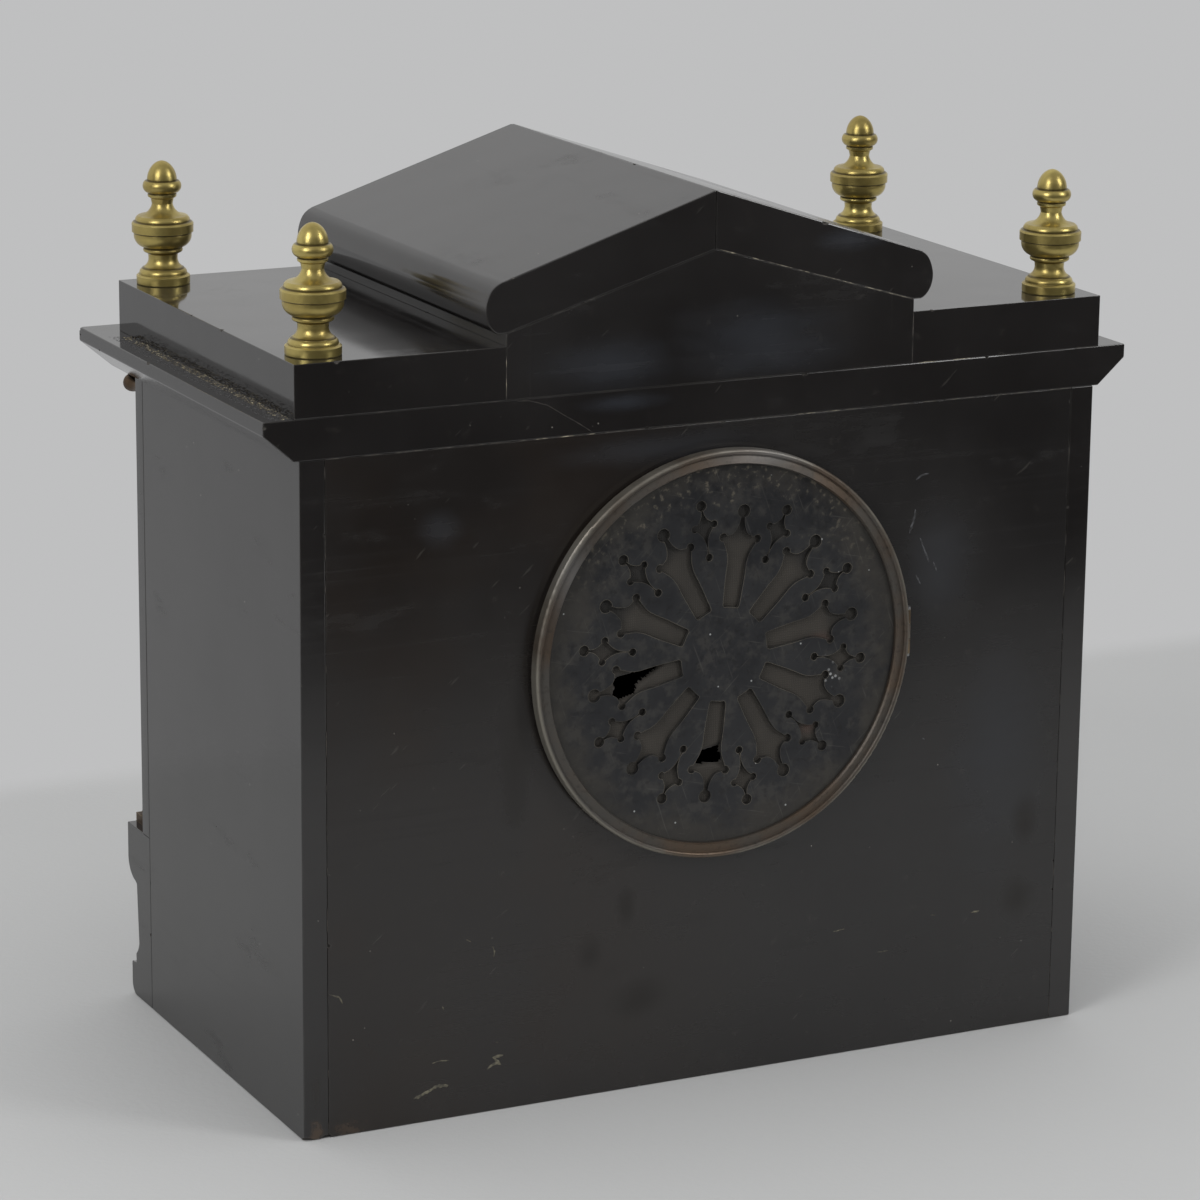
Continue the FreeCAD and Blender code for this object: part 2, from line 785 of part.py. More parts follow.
def hinge_pieces(x, z, y, side, outward):
    """Three knuckles on an upright axis: the outer two fixed, the middle one on the leaf that swings.

    side is the way from the axis to the ring, and outward the way out of the case."""
    rows = []
    step = knuckle_length + knuckle_gap
    bore_radius = hinge_pin_radius + running_fit
    for number in (-1, 0, 1):
        foot = z + number * step - knuckle_length / 2
        bore = Part.makeCylinder(bore_radius, knuckle_length + 2 * overrun, V(x, y, foot - overrun))
        knuckle = Part.makeCylinder(knuckle_radius, knuckle_length, V(x, y, foot))
        if number == 0:
            low, high = sorted((y - outward * hinge_leaf_thickness / 4, y + outward * hinge_leaf_thickness))
        else:
            low, high = sorted((y - outward * hinge_rise, y - outward * (hinge_rise - hinge_leaf_thickness)))
        ends = sorted((x, x + side * hinge_leaf_length))
        leaf = box(ends[0], ends[1], low, high, foot, foot + knuckle_length)
        rows.append(fused(knuckle, leaf).cut(bore))
    length = 3 * knuckle_length + 2 * knuckle_gap
    foot = z - length / 2
    pin = Part.makeCylinder(hinge_pin_radius, length, V(x, y, foot))
    for head_foot in (foot - hinge_pin_head, foot + length):
        pin = pin.fuse(Part.makeCylinder(knuckle_radius - running_fit, hinge_pin_head, V(x, y, head_foot)))
    return rows, pin.removeSplitter()


def hinge_notches(x, z, y):
    """Room around the two fixed knuckles and the pin's heads."""
    step = knuckle_length + knuckle_gap
    radius = knuckle_radius + hinge_notch
    reach = knuckle_length / 2 + knuckle_gap + hinge_pin_head + hinge_notch
    notches = []
    for number in (-1, 1):
        near = z + number * (step - knuckle_length / 2 - knuckle_gap / 2)
        far = z + number * (step + reach)
        notches.append(Part.makeCylinder(radius, abs(far - near), V(x, y, min(near, far))))
    return notches


# The back door: a fixed flanged ring, and a hinged ring with the pierced plate and its silk
def build_back_door():
    x, z = door_centre
    tube_inner = back_tube_radius - back_tube_wall
    flange_radius = door_radius - back_flange_inset
    fixed = tube(x, z, tube_inner, back_tube_radius, back_y - back_slab, back_y)
    fixed = fixed.fuse(tube(x, z, tube_inner, flange_radius, back_y, back_y + back_flange_thickness))
    inside = rod(x, z, tube_inner + back_tube_wall / 2, back_y - back_slab, back_y)
    lug_y = back_y - back_flange_thickness
    for side in (1, -1):
        screw = (centre[0] + side * (strap_place - strap_screw_inset), centre[1])
        near = screw[0] - side * (strap_screw_head + running_fit)
        ends = sorted((near, side * (back_tube_radius + door_offset)))
        lug = box(*ends, lug_y - lug_thickness, lug_y,
                  screw[1] - lug_half_height, screw[1] + lug_half_height)
        fixed = fixed.fuse(lug.common(inside))
        fixed = bored(fixed, screw, strap_screw_radius + running_fit, back_y - back_slab, back_y)
    hinge_x = x - door_radius - hinge_offset
    hinge_y = back_y + hinge_rise
    knuckles, pin = hinge_pieces(hinge_x, z, hinge_y, 1, 1)
    fixed = fused(fixed, knuckles[0], knuckles[2])
    save("back_ring", fixed)

    lip_radius = door_radius - door_lip
    seat_radius = door_radius - door_rebate
    bead_foot = door_back_y + door_ring_thickness - door_bead_height
    top = door_back_y + door_ring_thickness
    groove = door_radius - door_bead_width
    ring = turned_on_y([
        (seat_radius, door_back_y),
        (door_radius, door_back_y),
        (door_radius, bead_foot),
        ((door_radius - door_bead_width / 2, top), (groove, bead_foot)),
        (groove - door_bead_height / 2, bead_foot),
        (lip_radius + door_bead_height / 2, top - door_bead_height / 4),
        (lip_radius, top - door_bead_height),
        (lip_radius, door_back_y + door_lip_depth),
        (seat_radius, door_back_y + door_lip_depth),
    ], x, z)
    for notch in hinge_notches(hinge_x, z, hinge_y):
        ring = ring.cut(notch)
    catch_inner = tube_inner - catch_play - catch_thickness
    catch = tube(x, z, catch_inner, catch_inner + catch_thickness,
                 door_back_y - catch_length, door_back_y + door_silk_thickness / 2)
    catch = catch.common(box(x, x + door_radius, door_back_y - catch_length, top,
                             z - catch_half_width, z + catch_half_width))
    tie = tube(x, z, catch_inner, seat_radius + door_bead_width / 2,
               door_back_y, door_back_y + door_silk_thickness / 2)
    tie = tie.common(box(x, x + door_radius, door_back_y - catch_length, top,
                         z - catch_half_width, z + catch_half_width))
    for piece in (catch, tie):
        piece.rotate(V(x, 0, z), BACKWARD, catch_turn_deg)
    save("door_ring", fused(ring, knuckles[1], catch, tie))

    plate_front = door_back_y + door_lip_depth
    plate_back = plate_front - door_plate_thickness
    plate = rod(x, z, seat_radius - running_fit, plate_back, plate_front)
    for number in range(petal_count):
        turn = math.radians(360 * number / petal_count - pattern_turn_deg + 90)
        for opening in petal_cutters(turn, plate_back, plate_front):
            plate = plate.cut(opening)
        for opening in cross_cutters(turn + math.pi / petal_count, plate_back, plate_front):
            plate = plate.cut(opening)
    save("door_plate", plate)
    silk = rod(x, z, seat_radius - running_fit, plate_back - door_silk_thickness, plate_back)
    save("door_silk", silk)
    return pin


def plate_point(reach, turn):
    """A point of the door plate. Turns run clockwise as the plate is seen from behind."""
    return polar(door_centre[0], door_centre[1], reach, math.pi - turn)


def drilled(reach, turn, radius, y0, y1):
    x, z = plate_point(reach, turn)
    return rod(x, z, radius, y0 - overrun, y1 + overrun)


def pierced(points, y0, y1):
    """An opening with a smooth outline through the points of each side."""
    edges = []
    for side in points:
        curve = Part.BSplineCurve()
        curve.interpolate([V(x, y0 - overrun, z) for x, z in side])
        edges.append(curve.toShape())
    ends = [(points[0][-1], points[1][0]), (points[1][-1], points[0][0])]
    joins = [Part.makeLine(V(a[0], y0 - overrun, a[1]), V(b[0], y0 - overrun, b[1])) for a, b in ends]
    face = Part.Face(Part.Wire([edges[0], joins[0], edges[1], joins[1]]))
    return face.extrude(V(0, y1 - y0 + 2 * overrun, 0))


def petal_cutters(turn, y0, y1):
    """A large opening that widens from its foot, is pinched to a neck and ends in a round."""
    rows = [(share * petal_neck, width * petal_width) for share, width in petal_width_shares]
    rows += [(share * petal_neck, width * petal_width) for share, width in petal_shoulder_shares]
    rows.append((petal_neck, petal_neck_width / 2))
    rows.append((petal_dot_place, petal_neck_width / 2))
    sides = []
    for sign in (1, -1):
        side = [plate_point(reach, turn + sign * math.atan2(half, reach)) for reach, half in rows]
        sides.append(side if sign == 1 else side[::-1])
    cutters = [pierced(sides, y0, y1)]
    cutters.append(drilled(petal_dot_place, turn, petal_dot_radius, y0, y1))
    for sign in (1, -1):
        cusp_turn = turn + sign * math.radians(petal_cusp_turn_deg)
        cutters.append(drilled(petal_cusp_place, cusp_turn, petal_cusp_radius, y0, y1))
    return cutters


def cross_cutters(turn, y0, y1):
    """A small cross of four rounds joined by a body with hollow sides."""
    side_turn = math.radians(cross_side_turn_deg)
    neck = cross_neck_width / 2
    waist = cross_waist_width / 2
    side = cross_side_place * math.sin(side_turn)
    rows = [
        (cross_outer_place, neck),
        (cross_side_place + cross_waist_rise, waist),
        (cross_side_place + neck, side),
        (cross_side_place - neck, side),
        (cross_side_place - cross_waist_drop, waist),
        (cross_inner_place, neck),
    ]
    right = [plate_point(reach, turn + math.atan2(half, reach)) for reach, half in rows]
    left = [plate_point(reach, turn - math.atan2(half, reach)) for reach, half in rows]
    body = [right[0], (right[1], right[2]), right[3], (right[4], right[5]),
            left[5], (left[4], left[3]), left[2], (left[1], left[0])]
    cutters = [slab_along_y(body, y0 - overrun, y1 + overrun)]
    for reach, turn_off, radius in (
            (cross_outer_place, 0, cross_outer_radius), (cross_inner_place, 0, cross_inner_radius),
            (cross_side_place, side_turn, cross_side_radius),
            (cross_side_place, -side_turn, cross_side_radius)):
        cutters.append(drilled(reach, turn + turn_off, radius, y0, y1))
    return cutters


# The dial side: a fixed ring in the front slab, a hinged glass, and the dial on its back plate
def build_dial():
    x, z = centre
    ring_inner = dial_radius + dial_ring_gap
    ring_outer = ring_inner + dial_ring_wall
    flange_y = front_y - dial_flange_thickness
    ring = tube(x, z, ring_inner, ring_outer, front_y, front_y + dial_ring_depth)
    ring = ring.fuse(tube(x, z, ring_inner, bezel_radius - dial_flange_inset, flange_y, front_y))
    hinge_x = x + bezel_radius + hinge_offset
    hinge_y = front_y - hinge_rise
    knuckles, pin = hinge_pieces(hinge_x, z, hinge_y, -1, -1)
    ring = fused(ring, knuckles[0], knuckles[2])
    save("dial_ring", ring)

    bezel_back = flange_y - lift_gap
    bezel_front = bezel_back - bezel_depth
    lip_back = bezel_front + bezel_lip
    glass_seat = bezel_sight_radius + bezel_lip
    rounded = bezel_radius - (bezel_radius - bezel_sight_radius) * bezel_round_share
    bezel = turned_on_y([
        (glass_seat, bezel_back),
        (bezel_radius, bezel_back),
        (bezel_radius, bezel_back - bezel_edge),
        ((bezel_radius - bezel_edge / 2, bezel_front + bezel_lip), (rounded, bezel_front)),
        (bezel_sight_radius, bezel_front + bezel_lip / 2),
        (bezel_sight_radius, lip_back),
        (glass_seat, lip_back),
    ], x, z)
    for notch in hinge_notches(hinge_x, z, hinge_y):
        bezel = bezel.cut(notch)
    save("glass_bezel", fused(bezel, knuckles[1]))
    glass_radius = glass_seat - running_fit
    glass = turned_on_y([
        (0, lip_back),
        (glass_radius - glass_bevel, lip_back),
        (glass_radius, lip_back + glass_bevel_drop),
        (glass_radius, lip_back + glass_thickness),
        (0, lip_back + glass_thickness),
    ], x, z)
    seat = tube(x, z, glass_radius - glass_bevel / 4, glass_radius, lip_back, lip_back + glass_bevel_drop)
    save("dial_glass", fused(glass, seat))

    dial = rod(x, z, dial_radius, dial_face_y, dial_back_y)
    back = rod(x, z, dial_radius, dial_back_y, dial_plate_y)
    for number in range(4):
        foot_x, foot_z = polar(x, z, dial_foot_place, math.radians(45 + 90 * number))
        back = back.fuse(rod(foot_x, foot_z, dial_foot_radius, dial_back_y, plate_front_y))
    for place, radius in ((centre, dial_centre_hole), (going_barrel, winding_hole),
                          (strike_barrel, winding_hole)):
        dial = bored(dial, place, radius, dial_face_y, dial_back_y)
        back = bored(back, place, radius, dial_back_y, dial_plate_y)
    save("dial", dial)
    save("dial_plate", back.removeSplitter())
    return pin


# The hands: flat blades with a pierced ring near the tip
def build_hands():
    minute_turn = 360 * shown_minute / 60
    hour_turn = 360 * (shown_hour + shown_minute / 60) / 12
    pipe_inner = arbor_radius + cannon_wall + running_fit
    pipe_outer = pipe_inner + hour_pipe_wall
    hour_y = dial_face_y - hand_gap
    minute_y = hour_y - hand_thickness - hand_gap
    for name, length, degrees, y1, bore in (
            ("hour_hand", hour_hand_length, hour_turn, hour_y, pipe_outer),
            ("minute_hand", minute_hand_length, minute_turn, minute_y, arbor_radius + cannon_wall)):
        y0 = y1 - hand_thickness
        ring_place = length * hand_ring_share
        half = hand_width / 2
        blade = slab_along_y([
            (centre[0] - half, centre[1] - hand_tail),
            (centre[0] + half, centre[1] - hand_tail),
            (centre[0] + half / 2, centre[1] + ring_place),
            (centre[0] + hand_tip_width / 2, centre[1] + length),
            (centre[0] - hand_tip_width / 2, centre[1] + length),
            (centre[0] - half / 2, centre[1] + ring_place),
        ], y0, y1)
        hub = rod(*centre, bore + hand_width / 2, y0, y1)
        ring = rod(centre[0], centre[1] + ring_place, hand_ring_radius, y0, y1)
        hole = (centre[0], centre[1] + ring_place + half / 3)
        hand = bored(fused(blade, hub, ring), hole, hand_ring_radius - half, y0, y1)
        hand = bored(hand, centre, bore, y0, y1)
        hand.rotate(V(centre[0], 0, centre[1]), BACKWARD, degrees)
        save(name, hand)


# The plates: two round brass plates held apart by four turned pillars
def build_plates():
    x, z = centre
    front = rod(x, z, plate_radius, plate_front_y, inner_front_y)
    back = rod(x, z, plate_radius, inner_back_y, plate_back_y)
    shared_holes = [(second, pivot_radius), (pin_wheel, pivot_radius)]
    shared_holes += [(place, fine_pivot_radius) for place in (third, escape, locking, fly)]
    front_holes = shared_holes + [
        (centre, arbor_radius), (pallets, pivot_radius), (strike_second, pivot_radius),
        (hammer_arbor, hammer_pivot_radius), (going_barrel, winding_arbor_radius),
        (strike_barrel, winding_arbor_radius),
    ]
    back_holes = shared_holes + [
        (centre, pivot_radius), (strike_second, arbor_radius), (hammer_arbor, hammer_arbor_radius),
        (going_barrel, winding_pivot_radius), (strike_barrel, winding_pivot_radius),
    ]
    for place, radius in front_holes:
        front = bored(front, place, radius + running_fit, plate_front_y, inner_front_y)
    for place, radius in back_holes:
        back = bored(back, place, radius + running_fit, inner_back_y, plate_back_y)
    back = bored(back, pallets, anchor_hub, inner_back_y, plate_back_y)
    pillars = []
    for degrees in (pillar_upper_deg, 180 - pillar_upper_deg, pillar_lower_deg, 180 - pillar_lower_deg):
        place = polar(x, z, pillar_place, math.radians(degrees))
        front = bored(front, place, pillar_pivot, plate_front_y, inner_front_y)
        back = bored(back, place, pillar_pivot, inner_back_y, plate_back_y)
        middle_y = (inner_front_y + inner_back_y) / 2
        shoulder = pillar_radius
        pillars.append(turned_on_y([
            (0, plate_front_y - pillar_pin),
            (pillar_pivot, plate_front_y - pillar_pin),
            (pillar_pivot, inner_front_y),
            (pillar_radius, inner_front_y),
            (pillar_radius, inner_front_y + shoulder),
            ((pillar_waist, inner_front_y + 2 * shoulder), (pillar_radius, middle_y)),
            ((pillar_waist, inner_back_y - 2 * shoulder), (pillar_radius, inner_back_y - shoulder)),
            (pillar_radius, inner_back_y),
            (pillar_pivot, inner_back_y),
            (pillar_pivot, plate_back_y + pillar_pin),
            (0, plate_back_y + pillar_pin),
        ], *place))
    stud_y = plate_front_y - hour_wheel_lift - motion_thickness - motion_lift
    stud = rod(*minute_stud, arbor_radius, stud_y, plate_front_y)
    save("front_plate", fused(front, stud))
    save("back_plate", back.removeSplitter())
    save("plate_pillars", *pillars)


# The barrels: each a great wheel and a drum with a coiled mainspring, on a winding arbor
def build_barrel(place, mate, barrel_name, spring_name, arbor_name):
    wheel_y0 = inner_front_y + barrel_wheel_level
    wheel_y1 = wheel_y0 + barrel_wheel_thickness
    drum_y = wheel_y0 - drum_depth
    bore = winding_arbor_radius + running_fit
    facing = direction(place, mate)
    great = toothed(place, barrel_teeth, barrel_module, facing, wheel_y0, wheel_y1, tooth_shares)
    drum = rod(*place, drum_radius, drum_y, wheel_y0)
    hollow = rod(*place, drum_radius - drum_wall, drum_y + drum_wall, wheel_y0)
    save(barrel_name, bored(fused(drum.cut(hollow), great), place, bore, drum_y, wheel_y1))
    save(spring_name, mainspring(place, drum_y + drum_wall + spring_margin, wheel_y0 - spring_margin))

    ratchet_y = plate_front_y - ratchet_lift - ratchet_thickness
    body = rod(*place, winding_arbor_radius, ratchet_y, arbor_back_y)
    half = winding_square / 2
    x, z = place
    square = box(x - half, x + half, dial_face_y, plate_front_y, z - half, z + half)
    pivot = rod(*place, winding_pivot_radius, arbor_back_y, plate_back_y)
    points = []
    for number in range(ratchet_teeth):
        turn = 2 * math.pi * number / ratchet_teeth
        points.append(polar(*place, ratchet_radius, turn))
        points.append(polar(*place, ratchet_radius - ratchet_tooth, turn))
    ratchet = slab_along_y(points, ratchet_y, ratchet_y + ratchet_thickness)
    save(arbor_name, fused(body, square, pivot, ratchet))


def mainspring(place, y0, y1):
    """A flat steel strip coiled as half circles that step outward about two centres."""
    half = spring_strip / 2
    outer, inner = [], []
    for number in range(2 * spring_turns):
        side = 1 if number % 2 == 0 else -1
        reach = spring_inner + number * spring_pitch / 2
        shift = 0 if number % 2 == 0 else spring_pitch / 2
        middle_x = place[0] + shift
        for edge, radius in ((outer, reach + half), (inner, reach - half)):
            start = V(middle_x + side * radius, y0, place[1])
            top = V(middle_x, y0, place[1] + side * radius)
            end = V(middle_x - side * radius, y0, place[1])
            edge.append((start, top, end))
    edges = [Part.Arc(*arc).toShape() for arc in outer + inner]
    edges.append(Part.makeLine(outer[0][0], inner[0][0]))
    edges.append(Part.makeLine(outer[-1][2], inner[-1][2]))
    face = Part.Face(Part.Wire(Part.__sortEdges__(edges)))
    return face.extrude(V(0, y1 - y0, 0))


# The clicks that hold the ratchets of the two winding arbors
def build_clicks():
    clicks = []
    for place, side in ((going_barrel, 1), (strike_barrel, -1)):
        near = place[1] - ratchet_radius - click_gap
        y0 = plate_front_y - click_thickness
        lever = slab_along_y([
            (place[0] - side * click_length / 2, near - click_width),
            (place[0] + side * click_length / 2, near - click_width),
            (place[0] + side * click_length / 2, near - click_width / 2),
            (place[0], near),
            (place[0] - side * click_length / 2, near - click_width / 2),
        ], y0, plate_front_y)
        head = rod(place[0] - side * click_length / 2, near - click_width / 2 - click_screw_radius,
                   click_screw_radius, y0 - click_gap, plate_front_y)
        clicks.append(fused(lever, head))
    save("winding_clicks", *clicks)


# The going train, from the barrel to the escape wheel
def build_going_train():
    pinion_y = pinion_start(barrel_wheel_level, barrel_wheel_thickness)
    second_pinion = pinion(second, second_leaves, second_module, going_barrel, pinion_y)
    second_wheel = wheel(second, second_teeth, second_module, centre, second_level)
    save("going_second_wheel", fused(arbor(second), second_pinion, second_wheel))

    centre_y0 = dial_face_y - 3 * hand_gap - 2 * hand_thickness
    centre_arbor = rod(*centre, arbor_radius, centre_y0, arbor_back_y)
    centre_arbor = centre_arbor.fuse(rod(*centre, pivot_radius, arbor_back_y, plate_back_y))
    centre_pinion = pinion(centre, centre_leaves, second_module, second, pinion_start(second_level))
    centre_wheel = wheel(centre, centre_teeth, centre_module, third, centre_level)
    save("centre_wheel", fused(centre_arbor, centre_pinion, centre_wheel))

    third_pinion = pinion(third, third_leaves, centre_module, centre, pinion_start(centre_level))
    third_wheel = wheel(third, third_teeth, third_module, escape, third_level, small_hub)
    third_arbor = arbor(third, fine_arbor_radius, fine_pivot_radius)
    save("third_wheel", fused(third_arbor, third_pinion, third_wheel))

    escape_pinion = pinion(escape, escape_leaves, third_module, third, pinion_start(third_level))
    pitch = 2 * math.pi / escape_teeth
    points = []
    for number in range(escape_teeth):
        for turn, rise in escape_tooth_shares:
            reach = escape_radius - escape_tooth * (1 - rise)
            points.append(polar(*escape, reach, (number + turn) * pitch))
    y0 = inner_front_y + escape_level
    y1 = y0 + wheel_thickness
    escape_wheel = slab_along_y(points, y0, y1)
    rim = escape_radius - escape_tooth - wheel_rim / 2
    escape_wheel = crossed(escape_wheel, escape, rim, small_hub, y0, y1)
    escape_arbor = arbor(escape, fine_arbor_radius, fine_pivot_radius)
    save("escape_wheel", fused(escape_arbor, escape_pinion, escape_wheel))


# The anchor: two pallets astride the escape wheel, on an arbor that carries the crutch
def build_anchor():
    level_y = inner_front_y + escape_level
    y0 = level_y + (wheel_thickness - anchor_thickness) / 2
    y1 = y0 + anchor_thickness
    inner = escape_radius + anchor_gap
    outer = inner + anchor_width
    span = math.radians(anchor_half_span_deg)
    arms = slab_along_y([
        polar(*escape, inner, math.pi / 2 + span),
        (polar(*escape, inner, math.pi / 2), polar(*escape, inner, math.pi / 2 - span)),
        polar(*escape, outer, math.pi / 2 - span),
        (polar(*escape, outer, math.pi / 2), polar(*escape, outer, math.pi / 2 + span)),
    ], y0, y1)
    hub = rod(*pallets, anchor_hub, y0, y1)
    stem = box(pallets[0] - anchor_width / 2, pallets[0] + anchor_width / 2, y0, y1,
               escape[1] + inner + anchor_width / 2, pallets[1])
    crutch_y = plate_back_y + crutch_lift
    bridge_y = plate_back_y + cock_lift
    shaft = rod(*pallets, arbor_radius, arbor_front_y, bridge_y - end_shake)
    pivots = rod(*pallets, pivot_radius, plate_front_y, bridge_y + cock_plate)
    arm = box(pallets[0] - crutch_width / 2, pallets[0] + crutch_width / 2, crutch_y, crutch_y + cock_plate,
              pallets[1] - crutch_length, pallets[1])
    pieces = [hub, stem, shaft, pivots, arm]
    finger = pendulum_rod_radius + crutch_play + crutch_finger_radius
    foot = box(pallets[0] - finger - crutch_finger_radius, pallets[0] + finger + crutch_finger_radius,
               crutch_y, crutch_y + cock_plate, pallets[1] - crutch_length - crutch_finger_radius,
               pallets[1] - crutch_length + crutch_finger_radius)
    pieces.append(foot)
    for side in (1, -1):
        pieces.append(rod(pallets[0] + side * finger, pallets[1] - crutch_length, crutch_finger_radius,
                          crutch_y, pendulum_y + pendulum_rod_radius + crutch_play))
    save("anchor", fused(arms, *pieces))


# The cock on the back plate, the suspension spring, and the pendulum
def build_pendulum():
    x, z = pallets
    bridge_y = plate_back_y + cock_lift
    top = z + cock_height - cock_drop
    bridge_back = bridge_y + cock_plate
    bridge = box(x - cock_half_width, x + cock_half_width, bridge_y, bridge_back, z - cock_drop, top)
    legs = []
    for side in (1, -1):
        ends = sorted((x + side * cock_half_width, x + side * (cock_half_width - cock_leg)))
        legs.append(box(*ends, plate_back_y, bridge_back, z - cock_drop, top - cock_leg))
    jaws = box(x - jaw_half_width, x + jaw_half_width, bridge_y, bridge_back + jaw_reach,
               z + suspension_gap, z + jaw_height)
    pivot_hole = rod(x, z, pivot_radius + running_fit, bridge_y - overrun, bridge_back + end_shake)
    save("suspension_cock", fused(bridge, *legs, jaws).cut(pivot_hole))

    strip = box(x - suspension_strip / 2, x + suspension_strip / 2, pendulum_y - suspension_width / 2,
                pendulum_y + suspension_width / 2, z - suspension_length, z)
    save("suspension_spring", strip)

    hook_top = z - suspension_length
    hook_foot = hook_top - pendulum_hook_height
    half = pendulum_hook_side / 2
    hook = box(x - half, x + half, pendulum_y - half, pendulum_y + half, hook_foot, hook_top)
    rod_foot = base_slab + pendulum_foot_gap
    nut_foot = rod_foot + rod_tail
    bob_z = nut_foot + rating_nut_height + bob_radius
    stem = Part.makeCylinder(pendulum_rod_radius, hook_foot - rod_foot, V(x, pendulum_y, rod_foot))
    nut = Part.makeCylinder(rating_nut_radius, rating_nut_height, V(x, pendulum_y, nut_foot))
    save("pendulum_rod", fused(hook, stem, nut))

    y0 = pendulum_y - bob_thickness / 2
    y1 = pendulum_y + bob_thickness / 2
    edge = bob_edge / 2
    swell = (bob_thickness / 2 + edge) / 2
    bob = turned_on_y([
        (0, y0),
        ((bob_radius / 2, pendulum_y - swell - edge), (bob_radius, pendulum_y - edge)),
        (bob_radius, pendulum_y + edge),
        ((bob_radius / 2, pendulum_y + swell + edge), (0, y1)),
    ], x, bob_z)
    hole = Part.makeCylinder(pendulum_rod_radius, 2 * bob_radius + 2 * overrun,
                             V(x, pendulum_y, bob_z - bob_radius - overrun))
    save("pendulum_bob", bob.cut(hole))


# The motion work in front of the front plate, which drives the hour hand
def build_motion_work():
    wheel_y1 = plate_front_y - motion_lift
    wheel_y0 = wheel_y1 - motion_thickness
    hour_y1 = plate_front_y - hour_wheel_lift
    hour_y0 = hour_y1 - motion_thickness
    hour_hand_y = dial_face_y - hand_gap - hand_thickness
    minute_hand_y = hour_hand_y - hand_gap - hand_thickness
    cannon_outer = arbor_radius + cannon_wall
    facing = direction(centre, minute_stud)
    cannon = rod(*centre, cannon_outer, minute_hand_y, wheel_y1)
    leaves = toothed(centre, cannon_leaves, motion_module, facing + math.pi / cannon_leaves,
                     wheel_y0, wheel_y1, leaf_shares)
    save("cannon_pinion", bored(fused(cannon, leaves), centre, arbor_radius, minute_hand_y, wheel_y1))

    back_facing = direction(minute_stud, centre)
    disc = toothed(minute_stud, minute_teeth, motion_module, back_facing, wheel_y0, wheel_y1, tooth_shares)
    small = toothed(minute_stud, minute_leaves, hour_module, back_facing + math.pi / minute_leaves,
                    hour_y0 - motion_thickness / 2, wheel_y0, leaf_shares)
    stud_bore = arbor_radius + running_fit
    save("minute_wheel", bored(fused(disc, small), minute_stud, stud_bore, hour_y0, wheel_y1))

    pipe_inner = cannon_outer + running_fit
    pipe = rod(*centre, pipe_inner + hour_pipe_wall, hour_hand_y, hour_y1)
    hour = toothed(centre, hour_teeth, hour_module, facing, hour_y0, hour_y1, tooth_shares)
    rim = pitch_radius(hour_teeth, hour_module) - wheel_rim
    hour = crossed(hour, centre, rim, wheel_hub, hour_y0, hour_y1)
    save("hour_wheel", bored(fused(pipe, hour), centre, pipe_inner, hour_hand_y, hour_y1))


# The strike train, from its barrel to the fly that slows it
def build_strike_train():
    x, z = strike_second
    pinion_y = pinion_start(barrel_wheel_level, barrel_wheel_thickness)
    strike_pinion = pinion(strike_second, second_leaves, second_module, strike_barrel, pinion_y)
    strike_wheel = wheel(strike_second, strike_second_teeth, strike_second_module, pin_wheel, second_level)
    count_y0 = plate_back_y + count_wheel_lift
    count_y1 = count_y0 + wheel_thickness
    body = rod(x, z, arbor_radius, arbor_front_y, count_y1 + count_wheel_lift)
    pivot = rod(x, z, pivot_radius, plate_front_y, arbor_front_y)
    save("strike_second_wheel", fused(body, pivot, strike_pinion, strike_wheel))

    count = rod(x, z, count_wheel_radius, count_y0, count_y1)
    notch_foot = x + count_wheel_radius - count_wheel_notch
    strokes = 0
    for hour in range(1, hours_on_dial + 1):
        notch = box(notch_foot, x + count_wheel_radius + overrun, count_y0 - overrun, count_y1 + overrun,
                    z - count_wheel_notch / 2, z + count_wheel_notch / 2)
        notch.rotate(V(x, 0, z), BACKWARD, 360 * strokes / count_wheel_strokes)
        count = count.cut(notch)
        strokes += hour + 1
    rim = count_wheel_radius - 2 * count_wheel_notch
    windows = tube(x, z, count_wheel_hub, rim, count_y0 - overrun, count_y1 + overrun)
    arms = box(x - count_wheel_radius, x + count_wheel_radius, count_y0 - 2 * overrun, count_y1 + 2 * overrun,
               z - count_wheel_notch, z + count_wheel_notch)
    save("count_wheel", bored(count.cut(windows.cut(arms)), strike_second, arbor_radius, count_y0, count_y1))

    pinion_y = pinion_start(second_level)
    pin_pinion = pinion(pin_wheel, pin_wheel_leaves, strike_second_module, strike_second, pinion_y)
    pin_disc = wheel(pin_wheel, pin_wheel_teeth, pin_wheel_module, locking, pin_wheel_level)
    pins_y = inner_front_y + pin_wheel_level + wheel_thickness
    pins = []
    for number in range(lifting_pins):
        place = polar(*pin_wheel, lifting_pin_place, 2 * math.pi * number / lifting_pins)
        pins.append(rod(*place, lifting_pin_radius, pins_y, pins_y + lifting_pin_length))
    save("pin_wheel", fused(arbor(pin_wheel), pin_pinion, pin_disc, *pins))

    pinion_y = pinion_start(pin_wheel_level)
    locking_pinion = pinion(locking, locking_leaves, pin_wheel_module, pin_wheel, pinion_y)
    locking_disc = wheel(locking, locking_teeth, locking_module, fly, locking_level, small_hub)
    locking_arbor = arbor(locking, fine_arbor_radius, fine_pivot_radius)
    save("locking_wheel", fused(locking_arbor, locking_pinion, locking_disc))

    x, z = fly
    fly_pinion = pinion(fly, fly_leaves, locking_module, locking, pinion_start(locking_level))
    fly_y = inner_front_y + fly_level
    blade = box(x - fly_half_length, x + fly_half_length, fly_y, fly_y + fly_width,
                z - fly_thickness / 2, z + fly_thickness / 2)
    save("fly", fused(arbor(fly, fine_arbor_radius, fine_pivot_radius), fly_pinion, blade))


